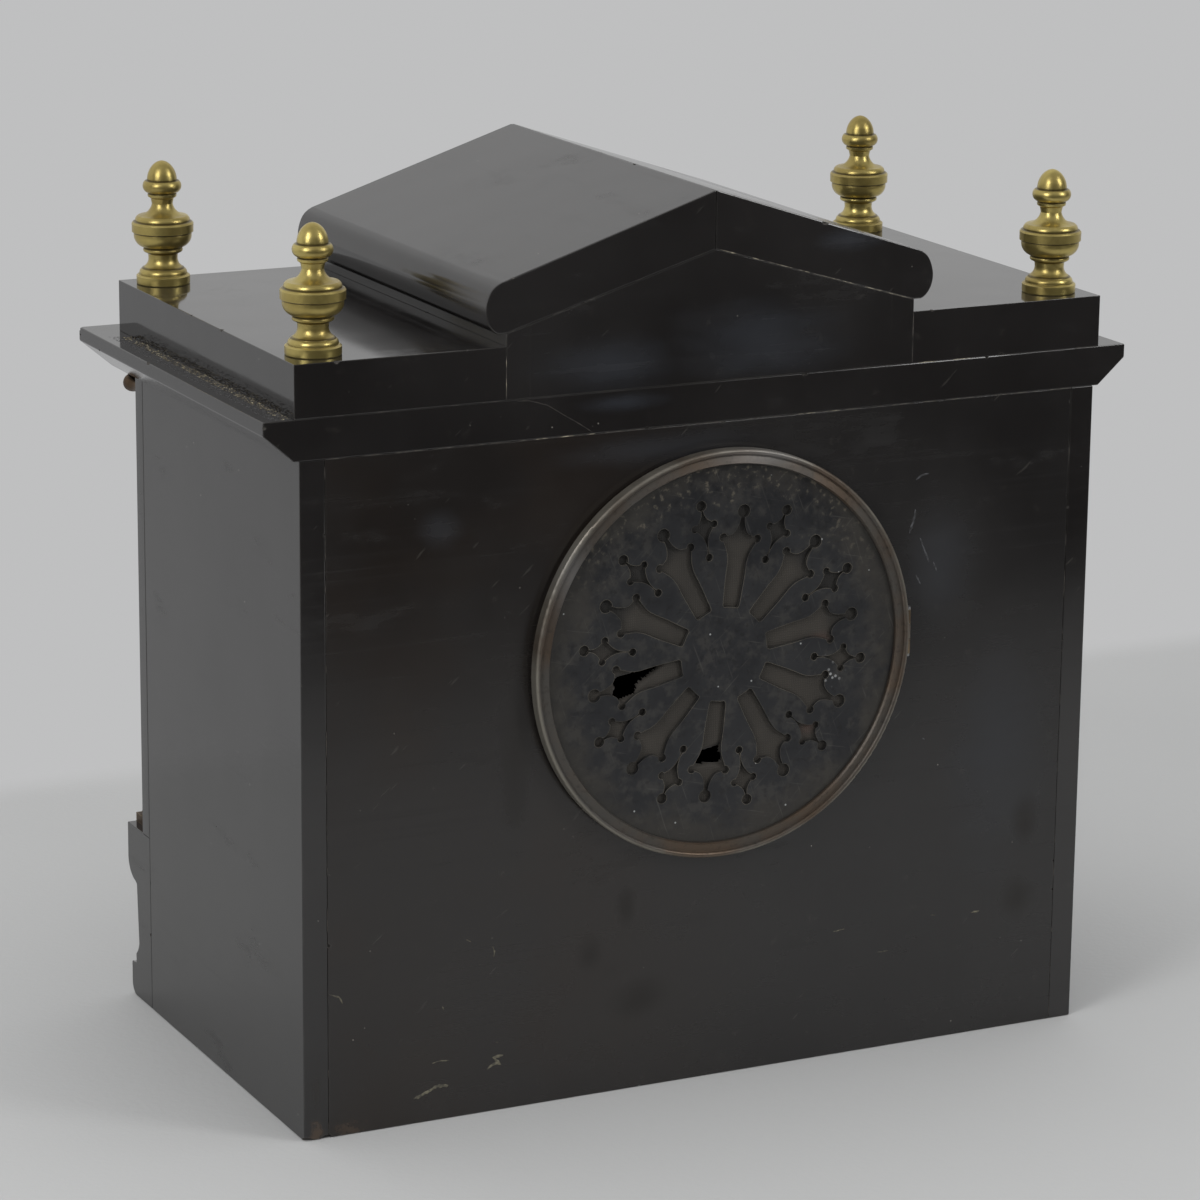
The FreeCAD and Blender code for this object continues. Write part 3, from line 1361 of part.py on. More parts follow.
# The hammer on its arbor, and the bell on its stand behind the back plate
def build_strike_work():
    x, z = hammer_arbor
    arm_y = bell_mouth_y + hammer_head_radius
    near = bell_radius + hammer_gap
    turn = math.radians(hammer_turn_deg)
    head_x, head_z = polar(*bell_centre, near, turn)
    outward = V(math.cos(turn), 0, math.sin(turn))
    head = Part.makeCylinder(hammer_head_radius, hammer_head_length, V(head_x, arm_y, head_z), outward)
    head_middle = polar(*bell_centre, near + hammer_head_length / 2, turn)
    reach = math.dist(hammer_arbor, head_middle)
    heading = V(head_middle[0] - x, 0, head_middle[1] - z)
    arm = Part.makeCylinder(hammer_arm_radius, reach, V(x, arm_y, z), heading)
    shaft = rod(x, z, hammer_arbor_radius, arbor_front_y, arm_y + hammer_arbor_radius)
    pivot = rod(x, z, hammer_pivot_radius, plate_front_y, arbor_front_y)
    pins_reach = lifting_pin_place + lifting_pin_radius
    tail_reach = math.dist(hammer_arbor, pin_wheel) - pins_reach - hammer_tail_gap
    tail_y = inner_front_y + pin_wheel_level + wheel_thickness + end_shake
    tail = box(x, x + tail_reach, tail_y, tail_y + hammer_tail_width,
               z - hammer_tail_width / 2, z + hammer_tail_width / 2)
    tail.rotate(V(x, 0, z), BACKWARD, -math.degrees(direction(hammer_arbor, pin_wheel)))
    save("hammer", fused(shaft, pivot, arm, head, tail))

    x, z = bell_centre
    mouth = bell_mouth_y
    crown = mouth + bell_depth
    shoulder = (bell_radius * bell_shoulder_share, mouth + bell_depth * bell_crown_share)
    under_shoulder = (shoulder[0] - bell_wall, shoulder[1] - bell_wall / 2)
    crown_reach = bell_radius * bell_crown_share
    save("bell", turned_on_y([
        (bell_radius, mouth),
        (shoulder, (crown_reach, crown - bell_wall / 2)),
        (bell_screw_radius + bell_nut_radius, crown),
        (bell_screw_radius, crown),
        (bell_screw_radius, crown - bell_wall),
        (bell_screw_radius + bell_nut_radius, crown - bell_wall),
        (crown_reach - bell_wall / 2, crown - bell_wall - bell_wall / 2),
        (under_shoulder, (bell_radius - bell_wall, mouth)),
    ], x, z))

    post = rod(*stand_foot, stand_radius, plate_back_y, crown + stand_arm_thickness)
    foot = rod(*stand_foot, stand_foot_radius, plate_back_y, plate_back_y + stand_foot_height)
    length = math.dist(stand_foot, bell_centre)
    arm = box(x, x + length, crown, crown + stand_arm_thickness,
              z - stand_arm_width / 2, z + stand_arm_width / 2)
    arm.rotate(V(x, 0, z), BACKWARD, -stand_turn_deg)
    screw = rod(x, z, bell_screw_radius, crown - bell_wall - bell_nut_height, crown + stand_arm_thickness)
    boss = rod(x, z, stand_arm_width / 2, crown, crown + stand_arm_thickness)
    nut = rod(x, z, bell_nut_radius, crown - bell_wall - bell_nut_height, crown - bell_wall)
    save("bell_stand", fused(post, foot, arm, boss, screw, nut))


# The straps from the dial ring, and the long screws that draw the back ring to them
def build_straps():
    ring_inner = dial_radius + dial_ring_gap
    strap_front = dial_plate_y + strap_front_gap
    strap_back = strap_front + strap_length
    foot_back = front_y + dial_ring_depth
    low = centre[1] - strap_half_height
    high = centre[1] + strap_half_height
    lug_y = back_y - back_flange_thickness
    head_y = lug_y + strap_screw_head_height
    straps, screws = [], []
    for side in (1, -1):
        inner = centre[0] + side * strap_place
        outer = inner + side * strap_thickness
        strip = box(*sorted((inner, outer)), strap_front, strap_back, low, high)
        foot = box(*sorted((inner, side * (ring_inner + dial_ring_wall))), strap_front, foot_back, low, high)
        foot = foot.common(rod(*centre, ring_inner, strap_front, foot_back))
        tab_ends = sorted((inner - side * strap_tab_reach, outer))
        tab = box(*tab_ends, strap_back - strap_tab_thickness, strap_back, low, high)
        screw = (inner - side * strap_screw_inset, centre[1])
        tab = bored(tab, screw, strap_screw_radius, strap_back - strap_tab_thickness, strap_back)
        straps.append(fused(strip, foot, tab))
        shank = rod(*screw, strap_screw_radius, strap_back - strap_tab_thickness - overrun, lug_y)
        head = rod(*screw, strap_screw_head, lug_y, head_y)
        slot = box(screw[0] - strap_screw_head, screw[0] + strap_screw_head,
                   head_y - strap_screw_slot, head_y + overrun,
                   screw[1] - strap_screw_slot / 2, screw[1] + strap_screw_slot / 2)
        screws.append(fused(shank, head).cut(slot))
    save("case_straps", *straps)
    save("strap_screws", *screws)


build_body()
build_plinth()
build_cornice()
build_attic()
build_finials()
build_gable()
build_columns()
back_pin = build_back_door()
dial_pin = build_dial()
save("hinge_pins", back_pin, dial_pin)
build_hands()
build_plates()
build_barrel(going_barrel, second, "going_barrel", "going_mainspring", "going_winding_arbor")
build_barrel(strike_barrel, strike_second, "strike_barrel", "strike_mainspring", "strike_winding_arbor")
build_clicks()
build_going_train()
build_anchor()
build_pendulum()
build_motion_work()
build_strike_train()
build_strike_work()
build_straps()
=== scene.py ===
import math
import random

import bmesh
import bpy
from mathutils import Matrix, Vector, noise


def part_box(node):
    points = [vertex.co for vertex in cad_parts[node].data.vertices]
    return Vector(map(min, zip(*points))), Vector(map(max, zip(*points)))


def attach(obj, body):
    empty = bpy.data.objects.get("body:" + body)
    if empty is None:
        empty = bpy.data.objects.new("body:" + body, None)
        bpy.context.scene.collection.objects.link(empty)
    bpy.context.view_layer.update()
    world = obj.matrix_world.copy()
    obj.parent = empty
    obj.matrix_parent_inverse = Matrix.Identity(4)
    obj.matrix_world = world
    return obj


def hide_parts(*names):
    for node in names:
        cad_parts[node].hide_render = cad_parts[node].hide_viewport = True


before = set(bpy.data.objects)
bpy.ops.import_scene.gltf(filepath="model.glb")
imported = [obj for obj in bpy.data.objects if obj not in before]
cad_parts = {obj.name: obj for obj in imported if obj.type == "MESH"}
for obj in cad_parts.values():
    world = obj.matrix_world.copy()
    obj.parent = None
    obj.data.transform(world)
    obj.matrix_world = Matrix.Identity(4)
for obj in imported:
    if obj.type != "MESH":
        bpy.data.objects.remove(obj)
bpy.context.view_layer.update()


# The clock stands on a pale sheet that meets a paler backdrop a little behind it, and the room
# is dark beyond the sheet's near edge. The camera looks at the clock's back from above, with a
# long lens, and soft lamps hang over it and to both sides.
def fill(tree, socket, value):
    """Links a node's output to a socket, or sets the socket to a plain value."""
    if isinstance(value, bpy.types.NodeSocket):
        tree.links.new(value, socket)
    else:
        socket.default_value = value


def add(tree, kind, inputs=(), out=0, **settings):
    """Adds a node with its inputs filled, and gives back one of its outputs."""
    made = tree.nodes.new("ShaderNode" + kind)
    for name, value in settings.items():
        setattr(made, name, value)
    for socket, value in dict(inputs).items():
        fill(tree, made.inputs[socket], value)
    return made.outputs[out]


def tint(tree, share, first, second):
    """Mixes two colours. The node has its colours at inputs 6 and 7 and the mix at output 2."""
    mix = tree.nodes.new("ShaderNodeMix")
    mix.data_type = "RGBA"
    fill(tree, mix.inputs[0], share)
    for place, colour in ((6, first), (7, second)):
        linked = isinstance(colour, bpy.types.NodeSocket)
        fill(tree, mix.inputs[place], colour if linked else (*colour, 1))
    return mix.outputs[2]


def ramp(tree, value, low, high, start=0.0, end=1.0):
    """Goes smoothly from start to end while the value goes from low to high."""
    return add(tree, "MapRange", {"Value": value, "From Min": low, "From Max": high,
                                  "To Min": start, "To Max": end}, interpolation_type="SMOOTHSTEP")


def grain(tree, at, scale, detail=4.0, rough=0.55):
    return add(tree, "TexNoise", {"Vector": at, "Scale": scale, "Detail": detail, "Roughness": rough})


def math_node(tree, operation, first, second=0.0):
    return add(tree, "Math", {0: first, 1: second}, operation=operation)


def times(tree, first, second):
    return math_node(tree, "MULTIPLY", first, second)


def coordinate(tree, at, axis):
    return add(tree, "SeparateXYZ", {0: at}, out=axis)


def length(tree, way):
    return add(tree, "VectorMath", {0: way}, out="Value", operation="LENGTH")


def new_material(name):
    """A material, its tree, its shader, and the coordinates of the object in metres."""
    made = bpy.data.materials.new(name)
    made.use_nodes = True
    tree = made.node_tree
    return made, tree, tree.nodes["Principled BSDF"], add(tree, "TexCoord", out="Object")


def surface(tree, shader, tone, rough, height=None, strength=0.0, depth=0.0):
    """Gives a shader its colour and roughness, and a fine bump where a height is given."""
    fill(tree, shader.inputs["Base Color"], tone)
    fill(tree, shader.inputs["Roughness"], rough)
    if height is not None:
        bump = add(tree, "Bump", {"Height": height, "Strength": strength, "Distance": depth})
        fill(tree, shader.inputs["Normal"], bump)


target = Vector((0.03611, 0.0655, 0.15247))
camera_away = 1.30305
azimuth, elevation, roll = (math.radians(angle) for angle in (153.76, 14.58, 0.57))
away = Vector((math.sin(azimuth) * math.cos(elevation), -math.cos(azimuth) * math.cos(elevation),
               math.sin(elevation)))
level = Vector((0, 0, 1)).cross(away).normalized()
upright = away.cross(level)
across = level * math.cos(roll) + upright * math.sin(roll)
upward = upright * math.cos(roll) - level * math.sin(roll)
camera = bpy.data.objects.new("camera", bpy.data.cameras.new("camera"))
camera.data.lens = 134.6
camera.data.sensor_width = 36.0
camera.data.clip_end = 50.0
camera.matrix_world = Matrix((across, upward, away)).transposed().to_4x4()
camera.location = target + away * camera_away
bpy.context.scene.collection.objects.link(camera)
bpy.context.scene.camera = camera

sheet_tone = (0.462, 0.463, 0.461)
backdrop_tone = (0.522, 0.524, 0.528)
room_tone = (0.017, 0.0165, 0.017)
sheet_half = 4.0
sheet_drop = 0.0001
fold_y, fold_half = -0.301, 0.016
near_edge_y, near_edge_half = 0.49, 0.15
paper, tree, shader, at = new_material("paper")
tone = tint(tree, grain(tree, at, 7.0), tuple(0.985 * c for c in sheet_tone),
            tuple(1.015 * c for c in sheet_tone))
surface(tree, shader, tone, 0.8, grain(tree, at, 420.0, 2.0), 0.25, 0.0004)
shader.inputs["Specular IOR Level"].default_value = 0.2
wall = add(tree, "Emission", {"Color": (*backdrop_tone, 1), "Strength": 1.0})
dark = add(tree, "Emission", {"Color": (*room_tone, 1), "Strength": 1.0})
inward = coordinate(tree, at, "Y")
beyond_fold = ramp(tree, inward, fold_y + fold_half, fold_y - fold_half)
far = times(tree, ramp(tree, length(tree, at), 0.60, 1.30), add(tree, "LightPath", out="Is Camera Ray"))
beyond_edge = times(tree, ramp(tree, inward, near_edge_y - near_edge_half, near_edge_y + near_edge_half),
                    add(tree, "LightPath", out="Is Glossy Ray"))
backdrop = math_node(tree, "MAXIMUM", beyond_fold, far)
lit = add(tree, "MixShader", {0: backdrop, 1: shader.outputs["BSDF"], 2: wall})
seen = add(tree, "MixShader", {0: beyond_edge, 1: lit, 2: dark})
fill(tree, tree.nodes["Material Output"].inputs["Surface"], seen)
made = bmesh.new()
bmesh.ops.create_grid(made, x_segments=8, y_segments=8, size=sheet_half)
bmesh.ops.translate(made, verts=made.verts, vec=(0, 0, -sheet_drop))
table = bpy.data.objects.new("table", bpy.data.meshes.new("table"))
made.to_mesh(table.data)
made.free()
table.data.materials.append(paper)
bpy.context.scene.collection.objects.link(table)

room = bpy.data.worlds.new("room")
room.use_nodes = True
tree = room.node_tree
tree.nodes.clear()
toward = add(tree, "TexCoord", out="Generated")
wall_share = ramp(tree, coordinate(tree, toward, "Y"), 0.15, -0.35, 0.05, 0.66)
sky_share = ramp(tree, coordinate(tree, toward, "Z"), 0.05, 0.75, 0.0, 0.33)
glow = math_node(tree, "MAXIMUM", wall_share, sky_share)
mirrored = add(tree, "Background", {"Color": (1, 1, 1, 1), "Strength": glow})
ambient = add(tree, "Background", {"Color": (0.98, 0.99, 1, 1), "Strength": 0.56})
behind = add(tree, "Background", {"Color": (*backdrop_tone, 1), "Strength": 1.0})
shiny = add(tree, "MixShader", {0: add(tree, "LightPath", out="Is Glossy Ray"), 1: ambient, 2: mirrored})
direct = math_node(tree, "MAXIMUM", add(tree, "LightPath", out="Is Camera Ray"),
                   add(tree, "LightPath", out="Is Transmission Ray"))
whole = add(tree, "MixShader", {0: direct, 1: shiny, 2: behind})
fill(tree, tree.nodes.new("ShaderNodeOutputWorld").inputs["Surface"], whole)
bpy.context.scene.world = room

lamps_aim = Vector((0, 0, 0.12))
for name, place, width, tall, power in (("lamp_left", (1.38, 0.74, 1.0), 0.55, 0.95, 11.5),
                                        ("lamp_right", (-1.05, 1.17, 1.0), 0.40, 0.75, 7.6),
                                        ("lamp_above", (0.1, -0.05, 1.7), 1.5, 1.5, 12.5)):
    lamp = bpy.data.objects.new(name, bpy.data.lights.new(name, "AREA"))
    lamp.data.shape = "RECTANGLE"
    lamp.data.size = width
    lamp.data.size_y = tall
    lamp.data.energy = power
    lamp.location = place
    lamp.rotation_euler = (lamps_aim - Vector(place)).to_track_quat("-Z", "Y").to_euler()
    lamp.visible_glossy = name != "lamp_above"
    bpy.context.scene.collection.objects.link(lamp)
bpy.context.scene.view_settings.view_transform = "Standard"


# The body is a box of thin sawn slabs of black slate, set in plaster on a base slab. Each slab's
# outer side is rubbed smooth and polished with wax, its arrises are eased by wear, and small
# flakes are gone from them.
slate_dark = (0.0112, 0.0102, 0.0099)
slate_pale = (0.0168, 0.0155, 0.0151)
slate_flake = (0.042, 0.038, 0.034)
slate_worn = (0.055, 0.052, 0.048)
slate_warm = (0.0165, 0.0105, 0.0066)
slate_hair = (0.075, 0.070, 0.062)
dust_tone = (0.25, 0.24, 0.21)
bloom_tone = (0.038, 0.043, 0.054)
# Dark stain tone, which also paints a shadow on the back slab.
damp_and_shade_tone = (0.0110, 0.0088, 0.0070)
rust_tone = (0.070, 0.043, 0.024)
back_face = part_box("back_slab")[1].y
flake_sizes = (0.00035, 0.0005, 0.0006, 0.0009)
steep_turn, long_edge = 0.6, 0.03
chance = random.Random(14)


def plus(tree, first, second):
    return math_node(tree, "ADD", first, second)


def offset(tree, at, centre, scale):
    """The way from a centre to each point, with each axis stretched by its own scale."""
    way = add(tree, "VectorMath", {0: at, 1: tuple(centre)}, operation="SUBTRACT")
    return add(tree, "VectorMath", {0: way, 1: scale}, operation="MULTIPLY")


def patches(tree, at, places, breakup):
    """A share that is 1 in the middle of each place, (x, z, half width, half height), and broken
    up by a noise towards its edge."""
    total = None
    for x, z, wide, high in places:
        far = length(tree, offset(tree, at, (x, 0, z), (1 / wide, 0, 1 / high)))
        share = ramp(tree, plus(tree, far, times(tree, breakup, 1.1)), 1.5, 0.45)
        total = share if total is None else math_node(tree, "MAXIMUM", total, share)
    return total


def arris_share(tree, radius, starts, full):
    """A share that rises over an edge as the rounded normal turns away from the face: none at the
    first cosine of their angle, all at the second."""
    rounded = add(tree, "Bevel", {"Radius": radius}, samples=6)
    facing = add(tree, "NewGeometry", out="Normal")
    turn = add(tree, "VectorMath", {0: rounded, 1: facing}, out="Value", operation="DOT_PRODUCT")
    return ramp(tree, turn, starts, full)


def slate(name, haze=(), stains_and_shade=(), browned=(), gloss=(0.07, 0.21), bend=1.6, hazed=0.5, warm=0.0):
    """Polished black slate with its bed lines, dust, hairs and smears, and with the patches that
    are given: pale haze, dark patches for stains and for painted shadow where one is given, and
    brown rust. Gloss is its least and its greatest roughness, bend its index of refraction, and
    warm how brown it is towards +X."""
    made, tree, shader, at = new_material(name)
    cloud = grain(tree, at, 13.0, 6.0)
    fine = grain(tree, at, 240.0, 3.0)
    lines = grain(tree, add(tree, "Mapping", {"Vector": at, "Scale": (9, 9, 420)}), 1.0, 5.0, 0.7)
    tone = tint(tree, ramp(tree, cloud, 0.3, 0.7), slate_dark, slate_pale)
    tone = tint(tree, ramp(tree, fine, 0.62, 0.8, 0.0, 0.25), tone, slate_flake)
    tone = tint(tree, ramp(tree, lines, 0.66, 0.82, 0.0, 0.22), tone, slate_flake)
    if warm:
        leftward = ramp(tree, coordinate(tree, at, "X"), -0.04, 0.07, 0.0, warm)
        patchy = ramp(tree, grain(tree, at, 21.0, 5.0), 0.35, 0.65, 0.3, 1.0)
        tone = tint(tree, times(tree, leftward, patchy), tone, slate_warm)
    cells = add(tree, "TexVoronoi", {"Vector": at, "Scale": 180.0})
    kept = ramp(tree, grain(tree, at, 31.0, 1.0), 0.52, 0.58)
    dust = times(tree, ramp(tree, cells, 0.055, 0.020), kept)
    dust = times(tree, dust, ramp(tree, grain(tree, at, 90.0), 0.40, 0.60, 0.2, 0.8))
    tone = tint(tree, dust, tone, dust_tone)
    drawn = add(tree, "Mapping", {"Vector": at, "Rotation": (0.4, 0.7, 0.2), "Scale": (0.07, 0.002, 0.002)},
                vector_type="TEXTURE")
    tone = tint(tree, ramp(tree, grain(tree, drawn, 1.0, 2.0, 0.6), 0.70, 0.80, 0.0, 0.3), tone, slate_hair)
    wiped = add(tree, "Mapping", {"Vector": at, "Rotation": (0.3, 0.5, 0.2), "Scale": (1, 1, 3)})
    smear = grain(tree, wiped, 26.0, 5.0, 0.65)
    rough = plus(tree, ramp(tree, cloud, 0.3, 0.75, *gloss), ramp(tree, lines, 0.5, 0.8, 0.0, 0.10))
    rough = plus(tree, rough, ramp(tree, smear, 0.56, 0.74, 0.0, 0.16))
    ragged = plus(tree, smear, ramp(tree, grain(tree, at, 260.0), 0.3, 0.7, -0.35, 0.35))
    # The dark patches are stains, and painted shadow where a caller gives one, as the back slab does.
    for places, breakup, share, colour, dulled in ((haze, smear, hazed, bloom_tone, 0.12),
                                                   (stains_and_shade, smear, 0.85, damp_and_shade_tone, 0.32),
                                                   (browned, ragged, 0.7, rust_tone, 0.3)):
        if places:
            covered = patches(tree, at, places, breakup)
            tone = tint(tree, times(tree, covered, share), tone, colour)
            rough = plus(tree, rough, times(tree, covered, dulled))
    edge = times(tree, arris_share(tree, 0.0007, 0.985, 0.86), ramp(tree, smear, 0.38, 0.62, 0.15, 0.9))
    tone = tint(tree, edge, tone, slate_worn)
    swell = plus(tree, grain(tree, at, 17.0, 2.0), times(tree, lines, 0.02))
    surface(tree, shader, tone, rough, swell, 0.35, 0.0007)
    shader.inputs["IOR"].default_value = bend
    return made


def broken_slate():
    """The dull grey of slate where it has broken."""
    made, tree, shader, at = new_material("broken_slate")
    tone = tint(tree, grain(tree, at, 900.0), (0.020, 0.018, 0.016), (0.075, 0.068, 0.060))
    surface(tree, shader, tone, 0.75, grain(tree, at, 1500.0), 0.8, 0.0003)
    return made


slate_break = broken_slate()


def show(mesh, name, material, body="case", smooth=True):
    """Gives a finished mesh its object, its finish and the body that it rides on."""
    piece = bpy.data.objects.new(name, bpy.data.meshes.new(name))
    bmesh.ops.recalc_face_normals(mesh, faces=mesh.faces)
    for face in mesh.faces:
        face.smooth = smooth
    mesh.to_mesh(piece.data)
    mesh.free()
    piece.data.materials.append(material)
    bpy.context.scene.collection.objects.link(piece)
    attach(piece, body)
    return piece


def volume(mesh):
    made = bmesh.new()
    made.from_mesh(mesh)
    size = made.calc_volume()
    made.free()
    return size


def sharpen(mesh, angle=38.0):
    """Marks the edges where two faces meet steeply, so that only gentle bends are shaded smooth."""
    made = bmesh.new()
    made.from_mesh(mesh)
    for face in made.faces:
        face.smooth = True
    for edge in made.edges:
        edge.smooth = len(edge.link_faces) == 2 and edge.calc_face_angle(0) < math.radians(angle)
    made.to_mesh(mesh)
    made.free()


def flakes(spots):
    """Lumpy little stones that are cut out of an arris where a flake has gone."""
    made = bmesh.new()
    for x, y, z, size in spots:
        place = Vector((x, y, z))
        lump = bmesh.ops.create_icosphere(made, subdivisions=2, radius=1.0)["verts"]
        spin = Matrix.Rotation(chance.uniform(0, 6.28), 4, "Z")
        turn = spin @ Matrix.Rotation(chance.uniform(0, 3), 4, "X")
        wide = size * chance.uniform(0.9, 1.7)
        shape = Matrix.Diagonal((wide, size * 0.8, size * chance.uniform(0.6, 1), 1))
        for vert in lump:
            bent = vert.co * (1 + 0.22 * noise.noise(vert.co * 1.7 + place * 900))
            vert.co = place + turn @ shape @ bent
    cutter = bpy.data.objects.new("flakes", bpy.data.meshes.new("flakes"))
    made.to_mesh(cutter.data)
    made.free()
    cutter.data.materials.append(slate_break)
    return cutter


def cut_flakes(piece, spots, tries=6):
    """Cuts the flakes out of a slab. A cut that went wrong shows in the volume that is left, and
    is tried again with other stones."""
    whole = volume(piece.data)
    for _ in range(tries):
        cutter = flakes(spots)
        bpy.context.scene.collection.objects.link(cutter)
        cut = piece.modifiers.new("flakes", "BOOLEAN")
        cut.object = cutter
        cut.solver = "EXACT"
        cut.material_mode = "TRANSFER"
        bpy.context.view_layer.update()
        final = bpy.data.meshes.new_from_object(piece.evaluated_get(bpy.context.evaluated_depsgraph_get()))
        piece.modifiers.remove(cut)
        bpy.data.objects.remove(cutter)
        if 0.97 * whole < volume(final) < whole:
            piece.modifiers.clear()
            piece.data = final
            sharpen(final)
            even = piece.modifiers.new("even", "WEIGHTED_NORMAL")
            even.keep_sharp = True
            return


def dressed(node, material, arris=0.00035, chips=0, spots=()):
    """A slab made from its CAD solid: flats in one face again, eased arrises, small flakes out."""
    made = bmesh.new()
    made.from_mesh(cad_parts[node].data)
    bmesh.ops.remove_doubles(made, verts=made.verts, dist=2e-6)
    bmesh.ops.dissolve_limit(made, angle_limit=math.radians(0.3), verts=made.verts, edges=made.edges)
    arrises = [edge for edge in made.edges if len(edge.link_faces) == 2 and edge.is_convex
               and edge.calc_face_angle(0) > steep_turn and edge.calc_length() > long_edge]
    total = sum(edge.calc_length() for edge in arrises)
    spots = list(spots)
    for _ in range(chips):
        along = chance.uniform(0, total)
        for edge in arrises:
            along -= edge.calc_length()
            if along <= 0:
                break
        place = edge.verts[0].co.lerp(edge.verts[1].co, chance.uniform(0.02, 0.98))
        spots.append((*place, chance.choice(flake_sizes)))
    piece = show(made, node + "_stone", material)
    bevel = piece.modifiers.new("arris", "BEVEL")
    bevel.width = arris
    bevel.segments = 2
    bevel.limit_method = "ANGLE"
    bevel.angle_limit = math.radians(32)
    even = piece.modifiers.new("even", "WEIGHTED_NORMAL")
    even.keep_sharp = False
    if spots:
        cut_flakes(piece, spots)
    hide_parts(node)


slate_body = slate("slate_body", browned=((0.1262, 0.001, 0.0030, 0.005),),
                   stains_and_shade=((0.1262, 0.014, 0.003, 0.012),))
foot_flakes = ((0.1300, back_face, 0.0, 0.0018), (0.1232, back_face, 0.0, 0.0016))
dressed("base_slab", slate_body)
dressed("left_side_slab", slate_body, chips=16, spots=foot_flakes)
dressed("right_side_slab", slate_body, chips=16)
dressed("front_slab", slate_body, chips=4)


# The back slab stands between the side slabs and is cut through for the movement. Wax that was
# never rubbed off has dried on it in pale smears and curls, and old damp has dulled it in places.
# A dark patch on the door ring's +X side, below its middle, is a painted shadow of the ring.
def strokes(runs, y, lift):
    """Flat ribbons of dried wax or plaster on a face, each given by its (x, z) points and its
    width in millimetres. They stand off the face by the lift, in metres."""
    made = bmesh.new()
    for points, width in runs:
        line = [Vector((x / 1000, 0, z / 1000)) for x, z in points]
        steps = []
        for a, b in zip(line, line[1:]):
            count = max(2, int((b - a).length / 0.0006))
            steps += [a.lerp(b, k / count) for k in range(count)]
        steps.append(line[-1])
        sides = []
        for k, place in enumerate(steps):
            ahead = (steps[min(k + 1, len(steps) - 1)] - steps[max(k - 1, 0)]).normalized()
            cross = Vector((ahead.z, 0, -ahead.x))
            ends = min(1, 0.35 + k / 3, 0.35 + (len(steps) - 1 - k) / 3)
            half = width / 2000 * ends * chance.uniform(0.55, 1.15)
            place = place + cross * chance.uniform(-0.12, 0.12) * width / 1000
            sides.append([made.verts.new((place.x + cross.x * s * half, y + d, place.z + cross.z * s * half))
                          for s, d in ((-1, 0), (1, 0), (0.7, lift), (-0.7, lift))])
        for a, b in zip(sides, sides[1:]):
            for k in range(4):
                made.faces.new((a[k], a[(k + 1) % 4], b[(k + 1) % 4], b[k]))
        made.faces.new(sides[0][::-1])
        made.faces.new(sides[-1])
    return made


def dry_wax(name, pale, grey):
    """Anything that has dried on the slate: wax, plaster, soot or scuffed polish."""
    made, tree, shader, at = new_material(name)
    tone = tint(tree, ramp(tree, grain(tree, at, 700.0, 5.0), 0.35, 0.65), grey, pale)
    surface(tree, shader, tone, 0.8, grain(tree, at, 2400.0), 0.6, 0.0001)
    return made


back_bloom = ((-0.078, 0.150, 0.018, 0.030), (0.087, 0.1785, 0.010, 0.008), (0.012, 0.196, 0.050, 0.007),
              (-0.100, 0.090, 0.024, 0.05))
# The last patch here is no damp but a painted shadow, cast by the door ring.
back_damp_and_ring_shadow = ((0.022, 0.028, 0.012, 0.009), (0.038, 0.044, 0.006, 0.008), (0.0265, 0.0575, 0.004, 0.009),
             (-0.111, 0.066, 0.006, 0.011), (-0.109, 0.042, 0.009, 0.010), (0.063, 0.110, 0.007, 0.030))
slate_back = slate("slate_back", haze=back_bloom, stains_and_shade=back_damp_and_ring_shadow,
                   browned=((0.1155, 0.0016, 0.007, 0.0035),), gloss=(0.17, 0.31), bend=1.54,
                   hazed=0.26, warm=0.5)
dressed("back_slab", slate_back, chips=14, spots=((0.1222, back_face, 0.0, 0.0013),))
wax_runs = (
    (((95.3, 7.6), (92.4, 8.7), (87.8, 10.5), (84.2, 10.1)), 0.7),
    (((71.9, 13.1), (69.4, 14.7), (67.4, 14.2), (69.7, 16.6), (66.4, 16.9)), 0.55),
    (((89.4, 17.9), (86.5, 18.2), (83.9, 17.9)), 0.3),
    (((122.0, 44.0), (118.8, 42.7), (117.6, 40.5)), 0.3),
    (((86.1, 35.0), (85.7, 33.7)), 0.35),
    (((68.7, 21.3), (68.4, 21.1)), 0.4),
    (((78.5, 54.5), (77.0, 53.6)), 0.4),
    (((70.0, 51.2), (69.4, 49.6), (69.6, 48.0)), 0.3),
    (((-44.0, 39.6), (-47.9, 40.0)), 0.3),
    (((-92.5, 39.1), (-95.7, 39.1)), 0.45),
    (((-59.7, 30.8), (-64.1, 30.8)), 0.2),
    (((-78.3, 40.2), (-79.9, 40.0)), 0.3),
)
wax_spread = 1.7
show(strokes([(points, wax_spread * width) for points, width in wax_runs], back_face, 0.00004),
     "wax_smears", dry_wax("dried_wax", (0.150, 0.138, 0.096), (0.040, 0.037, 0.030)))
scuff_runs = (
    (((-73.2, 180.1), (-70.7, 179.6), (-68.7, 178.5)), 0.4),
    (((-69.0, 169.4), (-68.4, 166.1), (-67.0, 162.2)), 0.45),
    (((-70.8, 160.4), (-72.5, 156.2), (-74.1, 152.6)), 0.35),
    (((-75.7, 152.5), (-76.8, 149.6)), 0.4),
    (((-69.7, 149.0), (-71.3, 146.1)), 0.35),
    (((-73.6, 97.5), (-74.4, 96.9)), 0.3),
)
scuff_spread = 1.8
show(strokes([(points, scuff_spread * width) for points, width in scuff_runs], back_face, 0.00003),
     "scuffs", dry_wax("scuffed", (0.082, 0.084, 0.090), (0.022, 0.022, 0.023)))


# A moulded plinth of the same slate crosses the front under the columns. Its cove and its
# rounded foot were ground to a template before polishing.
slate_front = slate("slate_front", gloss=(0.06, 0.18))
dressed("front_plinth", slate_front, arris=0.0003, chips=10)


